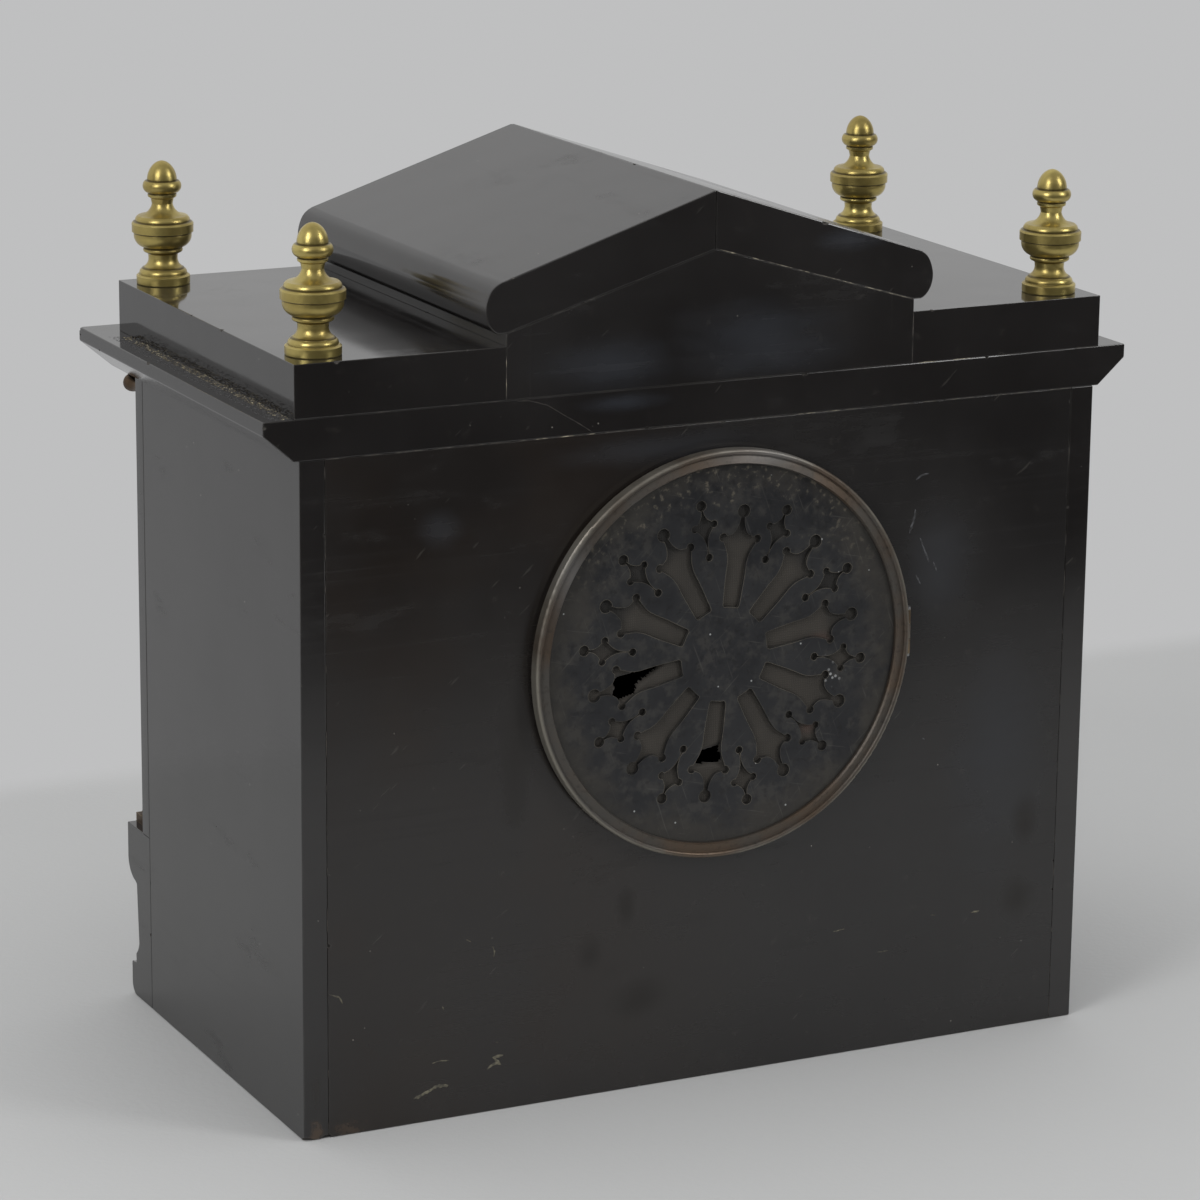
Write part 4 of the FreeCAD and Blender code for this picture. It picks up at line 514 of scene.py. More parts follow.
# The cornice is one thick slab with bevelled undersides at its front and ends. Plaster and dirt
# lie on its ledge beside the left attic block, and a pale vein crosses its back in an arc.
slate_cornice = slate("slate_cornice", haze=((0.03, 0.2105, 0.02, 0.004),))
corner_flakes = ((0.1408, -0.0846, 0.2140, 0.0012), (0.1399, -0.0835, 0.2121, 0.0010),
                 (0.1408, back_face, 0.2126, 0.0007))
dressed("cornice_slab", slate_cornice, chips=16, spots=corner_flakes)


def crumbs(name, low, high, count, size, material):
    """A crust of grit in the angle between two slabs, each grain a small flattened ball that is
    bent by noise."""
    pattern = bmesh.new()
    bmesh.ops.create_icosphere(pattern, subdivisions=1, radius=1.0)
    pattern.verts.index_update()
    corners = [Vector((vert.co.x, vert.co.y, 0.5 * vert.co.z)) for vert in pattern.verts]
    sides = [[vert.index for vert in face.verts] for face in pattern.faces]
    pattern.free()
    made = bmesh.new()
    for _ in range(count):
        place = Vector([chance.uniform(a, b) for a, b in zip(low, high)])
        radius = chance.uniform(0.35, 1.0) * size
        grown = []
        for corner in corners:
            spot = corner * radius
            spot *= 1 + 0.3 * noise.noise(spot * 4000 + place * 700)
            grown.append(made.verts.new(place + spot))
        for side in sides:
            made.faces.new([grown[k] for k in side])
    show(made, name, material)


def grit_material():
    """Old plaster grit: mostly dark, with brown and a few pale grains."""
    made, tree, shader, at = new_material("ledge_grit")
    pick = grain(tree, at, 900.0, 3.0)
    tone = tint(tree, ramp(tree, pick, 0.46, 0.56), (0.034, 0.031, 0.028), (0.110, 0.090, 0.055))
    tone = tint(tree, ramp(tree, pick, 0.56, 0.64), tone, (0.34, 0.30, 0.21))
    surface(tree, shader, tone, 0.9, pick, 0.5, 0.0003)
    return made


crumbs("ledge_grit", (0.1315, -0.064, 0.2141), (0.1346, 0.064, 0.2142), 1900, 0.00040, grit_material())
crumbs("ledge_dust", (0.1322, -0.066, 0.2141), (0.1378, 0.064, 0.2142), 3800, 0.00027,
       dry_wax("ledge_soot", (0.088, 0.086, 0.088), (0.018, 0.018, 0.019)))
vein_arc = ((63.0, 213.7), (59.3, 213.6), (53.5, 211.8), (48.6, 208.7), (42.7, 205.1), (39.0, 202.6))
show(strokes(((vein_arc, 0.28),), back_face, 0.00002), "vein",
     dry_wax("vein_quartz", (0.040, 0.034, 0.028), (0.018, 0.016, 0.014)))


# The attic is a block at each end and a gabled centre of thin walls under two thick roof slabs,
# mitred at the ridge and rounded along the eaves. Bloom has dulled the gable's back.
slate_attic = slate("slate_attic", gloss=(0.05, 0.15))
slate_gable = slate("slate_gable", haze=((0.034, 0.2215, 0.030, 0.012), (-0.016, 0.2255, 0.040, 0.018)),
                    gloss=(0.12, 0.26), hazed=0.42)
slate_roof = slate("slate_roof", haze=((-0.045, 0.253, 0.016, 0.005),), gloss=(0.08, 0.20))
dressed("left_attic_block", slate_attic, chips=12)
dressed("right_attic_block", slate_attic, chips=12)
dressed("gable_walls", slate_gable, arris=0.00005, chips=4)
dressed("left_roof_slab", slate_roof, arris=0.0005, chips=6)
dressed("right_roof_slab", slate_roof, arris=0.0005, chips=6)


# Grey plaster fills the joints and shows as a thin broken line wherever two slabs meet. It is
# dark with wax and dirt, but for a few pale stretches.
def millimetres(size):
    """A size of the frame, which is in metres, as millimetres to one place."""
    return round(1000 * size, 1)


def joint(runs, y, width, name, pieces, breaks, material):
    """Lines of plaster from point to point, in millimetres, each broken into pieces with breaks
    between them. Both are a least and a greatest length."""
    made = []
    for start, end in runs:
        a, b = Vector((start[0], 0, start[1])), Vector((end[0], 0, end[1]))
        whole, here = (b - a).length, 0.0
        while here < whole:
            run = min(whole - here, chance.uniform(*pieces))
            points = [a.lerp(b, (here + run * k / 4) / whole) for k in range(5)]
            made.append(([(p.x, p.z) for p in points], width * chance.uniform(0.6, 1.25)))
            here += run + chance.uniform(*breaks)
    show(strokes(made, y, 0.00005), name, material)


plaster = dry_wax("plaster", (0.085, 0.076, 0.064), (0.030, 0.027, 0.025))
pale_plaster = dry_wax("pale_plaster", (0.38, 0.34, 0.25), (0.11, 0.097, 0.075))
corner = millimetres(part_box("back_slab")[1].x)
body_top = millimetres(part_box("back_slab")[1].z)
ledge = millimetres(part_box("cornice_slab")[1].z)
gable_side = millimetres(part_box("gable_walls")[1].x)
joint((((corner, body_top), (-corner, body_top)), ((gable_side, 214.4), (gable_side, 229.6)),
       ((-gable_side, 214.4), (-gable_side, 229.6)), ((-2.0, 252.7), (-66.0, 233.7))),
      back_face, 0.26, "joint_plaster", (5, 18), (0.5, 4.0), plaster)
joint((((-1.5, 252.9), (-64.5, 234.1)), ((57.0, body_top), (38.0, body_top)),
       ((-28.0, body_top), (-46.0, body_top)), ((-68.5, ledge), (-88.0, ledge)),
       ((gable_side, 216.0), (gable_side, 226.0))),
      back_face + 0.00001, 0.22, "joint_plaster_pale", (1.5, 7), (0.5, 6), pale_plaster)
joint((((corner, 1.0), (corner, 200.0)), ((-corner, 1.0), (-corner, 200.0)), ((120, ledge), (68, ledge)),
       ((-68, ledge), (-130, ledge)), ((66.0, 233.7), (2.0, 252.7))),
      back_face, 0.16, "joint_plaster_sides", (2, 9), (4, 22), plaster)


# Two slate columns stand on the plinth's ledge, each between a cast bronze base and a scrolled
# bronze capital that have gone dark brown. A capital's scrolls narrow to a waist in the middle.
def metal(name, bright, dark, rough=(0.25, 0.45), scale=60.0, worn=None, grime_and_shade=None, metallic=1.0,
          streaks=0.0, groove_shade_heights=()):
    """Cast, turned or rolled metal, bright and dark in clouds and worn on its edges. Its corners are
    darker where the AO node finds them closed in, grime and painted shade together, and painted
    shade lines run round it at the heights of its grooves."""
    made, tree, shader, at = new_material(name)
    cloud = grain(tree, at, scale, 6.0, 0.6)
    fine = grain(tree, at, scale * 14, 3.0)
    tone = tint(tree, ramp(tree, cloud, 0.3, 0.68), bright, dark)
    tone = tint(tree, ramp(tree, fine, 0.60, 0.80, 0.0, 0.35), tone, dark)
    shine = plus(tree, ramp(tree, cloud, 0.25, 0.75, *rough), ramp(tree, fine, 0.4, 0.8, 0.0, 0.10))
    # Painted shade, with grime: darker and rougher where the AO node finds the surface closed in.
    if grime_and_shade:
        open_share = add(tree, "AmbientOcclusion", {"Distance": 0.0016}, out="AO", samples=6,
                         only_local=True)
        tone = tint(tree, ramp(tree, open_share, 0.92, 0.48, 0.0, 0.9), tone, grime_and_shade)
        shine = plus(tree, shine, ramp(tree, open_share, 0.85, 0.40, 0.0, 0.2))
    if worn:
        edge = arris_share(tree, 0.0005, 0.985, 0.88)
        tone = tint(tree, times(tree, edge, ramp(tree, cloud, 0.3, 0.6, 0.2, 1.0)), tone, worn)
    # Painted shade lines, one at each given height.
    for groove in groove_shade_heights:
        above = math_node(tree, "SUBTRACT", coordinate(tree, at, "Z"), groove)
        far = math_node(tree, "ABSOLUTE", above)
        tone = tint(tree, ramp(tree, far, 0.00042, 0.00010, 0.0, 0.8), tone, grime_and_shade)
    height = fine
    if streaks:
        height = grain(tree, add(tree, "Mapping", {"Vector": at, "Scale": (40, 40, 2600)}), 1.0, 3.0)
    surface(tree, shader, tone, shine, height, 0.12 + streaks, 0.00008)
    shader.inputs["Metallic"].default_value = metallic
    return made


def finish(material, *nodes):
    """Gives CAD nodes that are shown as they are their material."""
    for node in nodes:
        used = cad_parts[node].data.materials
        used.clear()
        used.append(material)


scroll_reach, scroll_radius, scroll_height = 0.00515, 0.0028, 0.1969
scroll_slices = 8
waist_depth, waist_share = 0.45, 0.9
block_half, block_blend = 0.0036, 0.0016


def waisted(mesh):
    """Draws the capitals' four scrolls in at the middle of their length. A scroll's axis runs
    front to back, a reach to the side of its capital's own. Near the capital's block the scroll
    keeps its full size."""
    low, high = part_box("column_capitals")
    half = (high.y - low.y) / 2
    middle = low.y + half
    place = high.x - scroll_reach - scroll_radius
    for step in range(1 - scroll_slices, scroll_slices):
        cut_y = middle + half * step / scroll_slices
        bmesh.ops.bisect_plane(mesh, geom=mesh.verts[:] + mesh.edges[:] + mesh.faces[:],
                               plane_no=(0, 1, 0), plane_co=(0, cut_y, 0))
    for vert in mesh.verts:
        aside = abs(vert.co.x) - place
        axis = abs(vert.co.x) - aside + math.copysign(scroll_reach, aside)
        out, up = abs(vert.co.x) - axis, vert.co.z - scroll_height
        waist = max(0, 1 - ((vert.co.y - middle) / half / waist_share) ** 2) ** 2
        waist *= min(1, max(0, (abs(aside) - block_half) / block_blend))
        if math.hypot(out, up) < 1.03 * scroll_radius:
            vert.co.x = math.copysign(axis + out * (1 - waist_depth * waist), vert.co.x)
            vert.co.z = scroll_height + up * (1 - waist_depth * waist)


brown_bronze = metal("brown_bronze", (0.13, 0.085, 0.050), (0.055, 0.036, 0.024), (0.35, 0.55),
                     worn=(0.26, 0.19, 0.11), grime_and_shade=(0.014, 0.010, 0.008))
finish(slate_front, "column_shafts")
finish(brown_bronze, "column_bases")
made = bmesh.new()
made.from_mesh(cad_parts["column_capitals"].data)
bmesh.ops.remove_doubles(made, verts=made.verts, dist=1e-6)
waisted(made)
capitals = show(made, "cast_capitals", brown_bronze)
sharpen(capitals.data, 32.0)
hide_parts("column_capitals")


# Four turned brass urns stand on the attic blocks, each screwed down through its foot. Their
# lacquer is gone and the brass has turned a dull olive gold. Its grooves are darker with grime
# and painted shade, and a painted shade line runs round at each groove's height.
# Heights of the painted shade lines, which stand for the shadows in the urns' grooves and under their steps.
urn_groove_shade_heights = (0.2455, 0.2490, 0.2394, 0.2410, 0.2574, 0.2614, 0.2347)
finish(metal("urn_brass", (0.59, 0.485, 0.168), (0.37, 0.285, 0.094), (0.27, 0.37), 45.0,
             worn=(0.74, 0.63, 0.27), grime_and_shade=(0.085, 0.062, 0.024), metallic=0.88, streaks=0.04,
             groove_shade_heights=urn_groove_shade_heights), "finials")


# The movement is held between two round brass plates on turned pillars, with spotted brass
# wheels, polished steel pinions and two spring barrels. It is seen when the back door is open.
plate_brass = metal("plate_brass", (0.62, 0.47, 0.20), (0.47, 0.35, 0.14), (0.26, 0.40), 30.0,
                    grime_and_shade=(0.10, 0.07, 0.03), streaks=0.05)
wheel_brass = metal("wheel_brass", (0.66, 0.51, 0.23), (0.52, 0.39, 0.17), (0.20, 0.32), 80.0,
                    grime_and_shade=(0.09, 0.065, 0.03))
steel = metal("steel", (0.50, 0.50, 0.50), (0.34, 0.34, 0.35), (0.22, 0.38), 120.0,
              grime_and_shade=(0.06, 0.055, 0.05))
finish(plate_brass, "front_plate", "back_plate", "plate_pillars", "suspension_cock", "case_straps")
finish(wheel_brass, "going_barrel", "strike_barrel", "centre_wheel", "going_second_wheel", "third_wheel",
       "escape_wheel", "strike_second_wheel", "pin_wheel", "locking_wheel", "fly", "count_wheel",
       "hour_wheel", "minute_wheel")
finish(steel, "cannon_pinion", "winding_clicks", "going_winding_arbor", "strike_winding_arbor", "anchor",
       "hammer", "bell_stand", "strap_screws", "hinge_pins", "suspension_spring")
finish(metal("spring_steel", (0.16, 0.17, 0.20), (0.09, 0.09, 0.11), (0.25, 0.4), 90.0),
       "going_mainspring", "strike_mainspring")


# The pendulum is a brass bob on a short rod behind the back plate, and the hour is struck on a
# deep bell of pale bell metal, turned and polished.
finish(wheel_brass, "pendulum_bob", "pendulum_rod")
finish(metal("bell_metal", (0.62, 0.56, 0.42), (0.50, 0.44, 0.31), (0.16, 0.28), 25.0), "bell")


# The dial is white enamel fired on a thin plate, with black numerals and a minute track fired
# into it, and small brass bushes where the winding squares come through.
dial_low, dial_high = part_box("dial")
dial_centre = 0.5 * (dial_low + dial_high)
dial_face = dial_low.y
numeral_foot, numeral_height = 0.0335, 0.0088
track_inner, track_outer, track_line = 0.0445, 0.0468, 0.00022
hour_mark_half, minute_mark_half = 0.00038, 0.00011
paint_front, paint_back = dial_face - 0.00003, dial_face + 0.00002


def enamel_material():
    """White enamel with a few faint cracks."""
    made, tree, shader, at = new_material("white_enamel")
    tone = tint(tree, grain(tree, at, 40.0), (0.80, 0.78, 0.71), (0.84, 0.82, 0.76))
    craze = add(tree, "TexVoronoi", {"Vector": at, "Scale": 90.0}, feature="DISTANCE_TO_EDGE")
    cracked = ramp(tree, grain(tree, at, 18.0), 0.56, 0.64, 0.0, 0.5)
    tone = tint(tree, times(tree, ramp(tree, craze, 0.012, 0.004), cracked), tone, (0.35, 0.30, 0.22))
    surface(tree, shader, tone, ramp(tree, grain(tree, at, 25.0), 0.3, 0.7, 0.08, 0.18),
            grain(tree, at, 60.0), 0.2, 0.0002)
    shader.inputs["Coat Weight"].default_value = 0.3
    return made


def black_enamel():
    made, tree, shader, at = new_material("black_enamel")
    tone = tint(tree, grain(tree, at, 300.0), (0.008, 0.008, 0.010), (0.022, 0.021, 0.024))
    surface(tree, shader, tone, ramp(tree, grain(tree, at, 150.0), 0.3, 0.7, 0.12, 0.3))
    return made


def bar(foot, head):
    """The outline of a straight stroke between two ends, each (u, v, width)."""
    (u0, v0, w0), (u1, v1, w1) = foot, head
    return ((u0 - w0 / 2, v0), (u0 + w0 / 2, v0), (u1 + w1 / 2, v1), (u1 - w1 / 2, v1))


def foot_serif(u, width):
    return bar((u, 0, width), (u, 0.05, width))


def head_serif(u, width):
    return bar((u, 0.95, width), (u, 1, width))


glyphs = {
    "I": (0.36, (bar((0, 0, 0.17), (0, 1, 0.17)), foot_serif(0, 0.32), head_serif(0, 0.32))),
    "V": (0.66, (bar((0.03, 0, 0.10), (-0.24, 1, 0.18)), bar((0.03, 0, 0.06), (0.26, 1, 0.05)),
                 head_serif(-0.24, 0.30), head_serif(0.26, 0.20))),
    "X": (0.68, (bar((0.22, 0, 0.18), (-0.22, 1, 0.18)), bar((-0.22, 0, 0.05), (0.22, 1, 0.05)),
                 foot_serif(0.22, 0.30), foot_serif(-0.22, 0.20),
                 head_serif(-0.22, 0.30), head_serif(0.22, 0.20))),
}
hours = ("XII", "I", "II", "III", "IIII", "V", "VI", "VII", "VIII", "IX", "X", "XI")


def prisms(outlines, near, far):
    """Flat outlines of (x, z) points, each raised between two depths."""
    made = bmesh.new()
    for outline in outlines:
        front = [made.verts.new((x, near, z)) for x, z in outline]
        back = [made.verts.new((x, far, z)) for x, z in outline]
        made.faces.new(front)
        made.faces.new(back[::-1])
        for k in range(len(front)):
            made.faces.new((front[k], back[k], back[k - 1], front[k - 1]))
    return made


def on_dial(angle, radius, aside=0.0):
    """The place on the dial at an angle from twelve, moved aside along the circle."""
    return (dial_centre.x + radius * math.sin(angle) + aside * math.cos(angle),
            dial_centre.z + radius * math.cos(angle) - aside * math.sin(angle))


outlines = []
for hour, word in enumerate(hours):
    angle = math.radians(30 * hour)
    start = -sum(glyphs[letter][0] for letter in word) / 2
    for letter in word:
        wide, shapes = glyphs[letter]
        for shape in shapes:
            outlines.append([on_dial(angle, numeral_foot + v * numeral_height,
                                     (start + wide / 2 + u) * numeral_height) for u, v in shape])
        start += wide
for minute in range(60):
    angle = math.radians(6 * minute)
    half = hour_mark_half if minute % 5 == 0 else minute_mark_half
    outlines.append([on_dial(angle, r, a) for r, a in ((track_inner, -half), (track_inner, half),
                                                      (track_outer, half), (track_outer, -half))])
for radius in (track_inner, track_outer):
    for step in range(180):
        a, b = math.radians(2 * step), math.radians(2 * step + 2)
        inner, outer = radius - track_line / 2, radius + track_line / 2
        outlines.append([on_dial(a, inner), on_dial(a, outer), on_dial(b, outer), on_dial(b, inner)])
show(prisms(outlines, paint_front, paint_back), "dial_numerals", black_enamel(), smooth=False)
finish(enamel_material(), "dial")
finish(plate_brass, "dial_plate")


def turned(name, centre, profile, material, body="case", steps=72):
    """A ring or a knob turned on the lathe about a line that runs front to back. The profile's
    points are a radius and a distance in front of the face that it stands on, in millimetres."""
    made = bmesh.new()
    rows = []
    for step in range(steps):
        angle = 2 * math.pi * step / steps
        rows.append([made.verts.new((centre.x + r / 1000 * math.cos(angle), centre.y - out / 1000,
                                     centre.z + r / 1000 * math.sin(angle))) for r, out in profile])
    for k in range(steps):
        for j in range(len(profile)):
            made.faces.new((rows[k - 1][j - 1], rows[k][j - 1], rows[k][j], rows[k - 1][j]))
    sharpen(show(made, name, material, body).data)


bush = ((3.35, -0.2), (3.35, 0.25), (3.5, 0.4), (4.0, 0.42), (4.25, 0.25), (4.3, -0.2))
for name, node in (("bush_going", "going_winding_arbor"), ("bush_strike", "strike_winding_arbor")):
    low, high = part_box(node)
    centre = 0.5 * (low + high)
    centre.y = dial_face
    turned(name, centre, bush, wheel_brass)


# The hands are sawn from thin steel with a ring near each tip, polished and blued by heat. A
# small brass collet is pinned over the minute hand's square.
finish(metal("blued_steel", (0.020, 0.035, 0.115), (0.012, 0.018, 0.060), (0.16, 0.26), 150.0,
             worn=(0.10, 0.13, 0.22)), "hour_hand", "minute_hand")
collet = ((0.01, 0.0), (2.3, 0.0), (2.3, 0.25), (1.6, 0.7), (0.01, 0.8))
collet_foot = Vector((dial_centre.x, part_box("minute_hand")[0].y, dial_centre.z))
turned("hand_collet", collet_foot, collet, wheel_brass, "minute_work")


# A brass bezel with a bevelled glass closes the dial on a hinge. It shuts over a fixed ring that
# is clamped to the slate, and is darker than the urns.
aged_bronze = metal("aged_bronze", (0.26, 0.20, 0.13), (0.13, 0.095, 0.062), (0.26, 0.42), 55.0,
                    worn=(0.42, 0.36, 0.27), grime_and_shade=(0.03, 0.022, 0.016))
finish(aged_bronze, "glass_bezel", "dial_ring")


def glass_material():
    """Clear glass that lets light through to the dial, with faint grease on it."""
    made, tree, shader, at = new_material("clear_glass")
    surface(tree, shader, (0.95, 0.975, 0.965, 1), ramp(tree, grain(tree, at, 90.0), 0.5, 0.8, 0.0, 0.03))
    shader.inputs["Transmission Weight"].default_value = 1.0
    shader.inputs["IOR"].default_value = 1.5
    clear = add(tree, "BsdfTransparent", {"Color": (0.93, 0.95, 0.94, 1)})
    shaded = add(tree, "LightPath", out="Is Shadow Ray")
    both = add(tree, "MixShader", {0: shaded, 1: shader.outputs["BSDF"], 2: clear})
    fill(tree, tree.nodes["Material Output"].inputs["Surface"], both)
    return made


finish(glass_material(), "dial_glass")


# The back door is a brass ring with a rolled bead, browned all over and painted paler along its
# outer edge, for wear and as a painted highlight, hinged to a fixed ring that straps from the
# front hold against the slate.
door_low, door_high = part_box("door_plate")
door_centre = 0.5 * (door_low + door_high)


def from_door_centre(tree, at):
    """The way from the door's centre to each point, as seen from straight behind."""
    return offset(tree, at, door_centre, (1, 0, 1))


def ring_bronze():
    """Browned brass whose outer rim is painted paler, for wear and as a painted highlight, with two paler
    patches that are painted highlights.
    """
    made, tree, shader, at = new_material("ring_bronze")
    cloud = grain(tree, at, 38.0, 6.0, 0.62)
    fine = grain(tree, at, 650.0, 3.0)
    tone = tint(tree, ramp(tree, cloud, 0.32, 0.68), (0.116, 0.084, 0.060), (0.098, 0.092, 0.084))
    tone = tint(tree, ramp(tree, fine, 0.5, 0.85, 0.0, 0.6), tone, (0.030, 0.025, 0.021))
    out = length(tree, from_door_centre(tree, at))
    # Wear and painted highlight: the outer edge of the bead is painted paler.
    rim_wear_and_highlight = times(tree, ramp(tree, out, 0.0608, 0.0616), ramp(tree, cloud, 0.35, 0.6, 0.15, 0.75))
    tone = tint(tree, rim_wear_and_highlight, tone, (0.28, 0.26, 0.22))
    # Painted highlights: two pale bluish patches where the bead catches the light, on its upper +X side and
    # at its top.
    painted_highlight = patches(tree, at, ((0.047, 0.160, 0.010, 0.020), (-0.02, 0.192, 0.03, 0.006)), cloud)
    tone = tint(tree, times(tree, painted_highlight, 0.6), tone, (0.26, 0.255, 0.25))
    surface(tree, shader, tone, ramp(tree, cloud, 0.25, 0.75, 0.36, 0.56), fine, 0.2, 0.00012)
    shader.inputs["Metallic"].default_value = 0.75
    return made


finish(ring_bronze(), "door_ring")
finish(aged_bronze, "back_ring")


# In the ring sits a thin brass plate sawn into ten petals and crosses. Its black lacquer is
# rubbed grey and brown near the rim, scratched, and spotted with old paint.
def plate_material():
    """Black lacquer: mottled, browned and rubbed near the rim, with hair scratches, paint spots
    and brass showing at its sawn edges."""
    made, tree, shader, at = new_material("plate_lacquer")
    cloud = grain(tree, at, 55.0, 7.0, 0.66)
    fine = grain(tree, at, 480.0, 4.0)
    mottled = grain(tree, at, 210.0, 5.0, 0.6)
    tone = tint(tree, ramp(tree, cloud, 0.3, 0.7), (0.0145, 0.0150, 0.0172), (0.0240, 0.0246, 0.0266))
    tone = tint(tree, ramp(tree, mottled, 0.48, 0.66, 0.0, 0.7), tone, (0.044, 0.042, 0.039))
    tone = tint(tree, ramp(tree, fine, 0.46, 0.34, 0.0, 0.5), tone, (0.0095, 0.0090, 0.0090))
    way = from_door_centre(tree, at)
    reach = plus(tree, length(tree, way), ramp(tree, cloud, 0.2, 0.8, -0.010, 0.010))
    tone = tint(tree, ramp(tree, reach, 0.0460, 0.0580, 0.0, 0.5), tone, (0.046, 0.040, 0.031))
    upper = ramp(tree, coordinate(tree, way, "Z"), 0.015, 0.045)
    rubs = times(tree, ramp(tree, fine, 0.54, 0.68), ramp(tree, reach, 0.046, 0.051))
    tone = tint(tree, times(tree, rubs, times(tree, upper, 0.85)), tone, (0.12, 0.105, 0.080))
    for turn, place in ((0.35, 0.0), (-0.8, 3.1), (1.35, 5.3)):
        drawn = add(tree, "Mapping", {"Vector": at, "Location": (place, 0, place), "Rotation": (0, turn, 0),
                                      "Scale": (0.0011, 1, 0.024)}, vector_type="TEXTURE")
        hair = ramp(tree, grain(tree, drawn, 1.0, 3.0, 0.7), 0.63, 0.72, 0.0, 0.30)
        tone = tint(tree, hair, tone, (0.110, 0.103, 0.092))
    cells = add(tree, "TexVoronoi", {"Vector": at, "Scale": 560.0})
    spots = patches(tree, at, ((-0.0395, 0.1222, 0.006, 0.005), (-0.040, 0.128, 0.004, 0.003)), cloud)
    spots = times(tree, spots, ramp(tree, cells, 0.30, 0.20))
    lone = add(tree, "TexVoronoi", {"Vector": at, "Scale": 150.0})
    spots = math_node(tree, "MAXIMUM", spots, ramp(tree, lone, 0.055, 0.030))
    tone = tint(tree, times(tree, spots, 0.8), tone, (0.42, 0.43, 0.43))
    edge = times(tree, arris_share(tree, 0.00035, 0.98, 0.85), ramp(tree, cloud, 0.35, 0.6, 0.2, 0.9))
    tone = tint(tree, edge, tone, (0.17, 0.15, 0.115))
    surface(tree, shader, tone, ramp(tree, cloud, 0.25, 0.75, 0.30, 0.48), fine, 0.25, 0.0001)
    shader.inputs["Metallic"].default_value = 0.25
    return made


finish(plate_material(), "door_plate")


# A disc of brown silk is pasted behind the plate to keep dust out and let the bell sound. It has
# torn in two places, and the edges of the tears have curled inwards.
silk_low, silk_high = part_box("door_silk")
silk_radius = (silk_high.x - silk_low.x) / 2 - 0.0001
silk_thick = 0.00016
silk_y = silk_low.y + 0.00018
silk_rings, silk_spokes = 118, 300
curl_reach, curl_depth = 1.3, 0.0007
tears = (((16.6, 132.2), (18.6, 129.6), (21.0, 128.0), (24.4, 125.9), (25.6, 122.9), (30.2, 121.2),
          (33.3, 122.6), (32.0, 125.6), (33.2, 128.8), (27.2, 129.9), (23.2, 130.9)),
         ((5.0, 99.0), (4.3, 103.4), (-0.5, 104.1), (-3.6, 104.9), (-4.0, 99.0)))


def in_tear(x, z):
    """How deep a point is inside the nearest tear, in millimetres; under zero outside."""
    best = -99.0
    for outline in tears:
        inside, depth = False, 99.0
        for (ax, az), (bx, bz) in zip((outline[-1], *outline), outline):
            wide, tall = bx - ax, bz - az
            if (az > z) != (bz > z) and x < wide * (z - az) / tall + ax:
                inside = not inside
            run = max(0, min(1, ((x - ax) * wide + (z - az) * tall) / (wide ** 2 + tall ** 2)))
            depth = min(depth, math.hypot(x - ax - run * wide, z - az - run * tall))
        best = max(best, depth if inside else -depth)
    return best


def silk_disc():
    """A fine round mesh, a little wavy, curled inwards at the tears and open inside them."""
    made = bmesh.new()
    rows = []
    for ring in range(1, silk_rings + 1):
        row = []
        for spoke in range(silk_spokes):
            angle = 2 * math.pi * (spoke + 0.5 * (ring % 2)) / silk_spokes
            radius = silk_radius * ring / silk_rings
            x = door_centre.x + radius * math.cos(angle)
            z = door_centre.z + radius * math.sin(angle)
            wave = 0.00009 * noise.noise(Vector((x * 90, 3.0, z * 90)))
            curl = max(0.0, 1 + in_tear(x * 1000, z * 1000) / curl_reach)
            bent = curl_depth * curl ** 2 * min(1, 2 * curl)
            row.append(made.verts.new((x, silk_y + wave - bent, z)))
        rows.append(row)
    middle = made.verts.new((door_centre.x, silk_y, door_centre.z))
    for k in range(silk_spokes):
        made.faces.new((middle, rows[0][k - 1], rows[0][k]))
    for low, high in zip(rows, rows[1:]):
        for k in range(silk_spokes):
            made.faces.new((low[k - 1], high[k - 1], high[k], low[k]))
    ragged = []
    for face in made.faces:
        spot = face.calc_center_median() * 1000
        fray = 0.4 if spot.x > 10 else 0.15
        if in_tear(spot.x, spot.z) > 0.3 + fray * noise.noise(spot * 0.9):
            ragged.append(face)
    bmesh.ops.delete(made, geom=ragged, context="FACES")
    return made


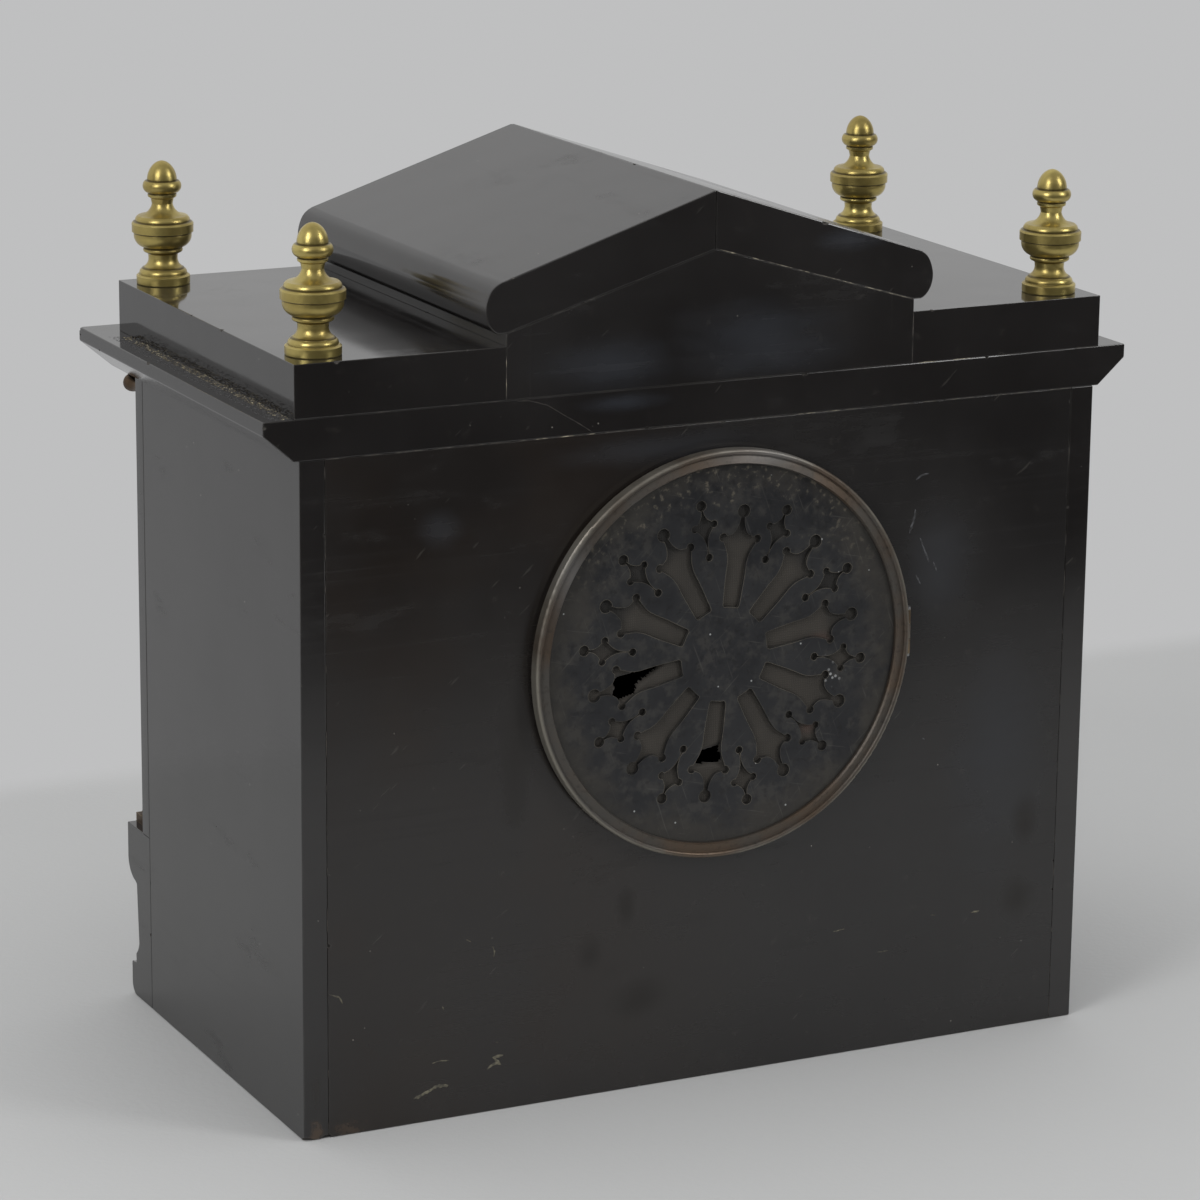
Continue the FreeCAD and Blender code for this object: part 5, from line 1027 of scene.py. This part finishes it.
def silk_material():
    """Plain-woven silk, faded in clouds, with rusty spots, painted shade in a band near its rim towards the
    top, painted shade near the plate's edges, and a painted shadow at one hole's edge.
    """
    made, tree, shader, at = new_material("brown_silk")
    warp = add(tree, "TexWave", {"Vector": at, "Scale": 520.0, "Distortion": 1.2, "Detail": 1.0},
               out="Fac", bands_direction="X")
    weft = add(tree, "TexWave", {"Vector": at, "Scale": 430.0, "Distortion": 1.2, "Detail": 1.0},
               out="Fac", bands_direction="Z")
    thread = times(tree, warp, weft)
    faded = grain(tree, at, 60.0, 5.0)
    tone = tint(tree, ramp(tree, faded, 0.3, 0.7), (0.026, 0.0218, 0.0165), (0.041, 0.0345, 0.0265))
    tone = tint(tree, ramp(tree, thread, 0.0, 0.6, 0.45, 0.0), tone, (0.018, 0.015, 0.012))
    rust = patches(tree, at, ((0.0345, 0.107, 0.005, 0.005), (-0.032, 0.107, 0.005, 0.005),
                              (-0.036, 0.133, 0.006, 0.005)), faded)
    tone = tint(tree, times(tree, rust, 0.5), tone, (0.085, 0.042, 0.030))
    way = from_door_centre(tree, at)
    # Painted shade: a dark band near the rim towards the top, where the upper holes in the plate look deep.
    upper_hole_shade = times(tree, ramp(tree, length(tree, way), 0.0325, 0.0385),
                  ramp(tree, coordinate(tree, way, "Z"), -0.004, 0.016))
    tone = tint(tree, times(tree, upper_hole_shade, 0.85), tone, (0.0075, 0.0065, 0.0055))
    # Painted shade: darker where the AO node finds the silk closed in by the plate's edges.
    plate_edge_shade = add(tree, "AmbientOcclusion", {"Distance": 0.003}, out="AO", samples=8)
    tone = tint(tree, ramp(tree, plate_edge_shade, 0.72, 0.36, 0.0, 0.8), tone, (0.012, 0.010, 0.008))
    # Painted shadow along one hole's edge.
    hole_edge_shadow = patches(tree, at, ((-0.0125, 0.1045, 0.004, 0.0014),), faded)
    tone = tint(tree, hole_edge_shadow, tone, (0.007, 0.006, 0.005))
    surface(tree, shader, tone, 0.75, thread, 0.5, 0.0001)
    shader.inputs["Sheen Weight"].default_value = 0.1
    return made


silk = show(silk_disc(), "torn_silk", silk_material(), "back_door")
thick = silk.modifiers.new("cloth", "SOLIDIFY")
thick.thickness = silk_thick
thick.offset = 0.0
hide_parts("door_silk")

bpy.context.view_layer.update()
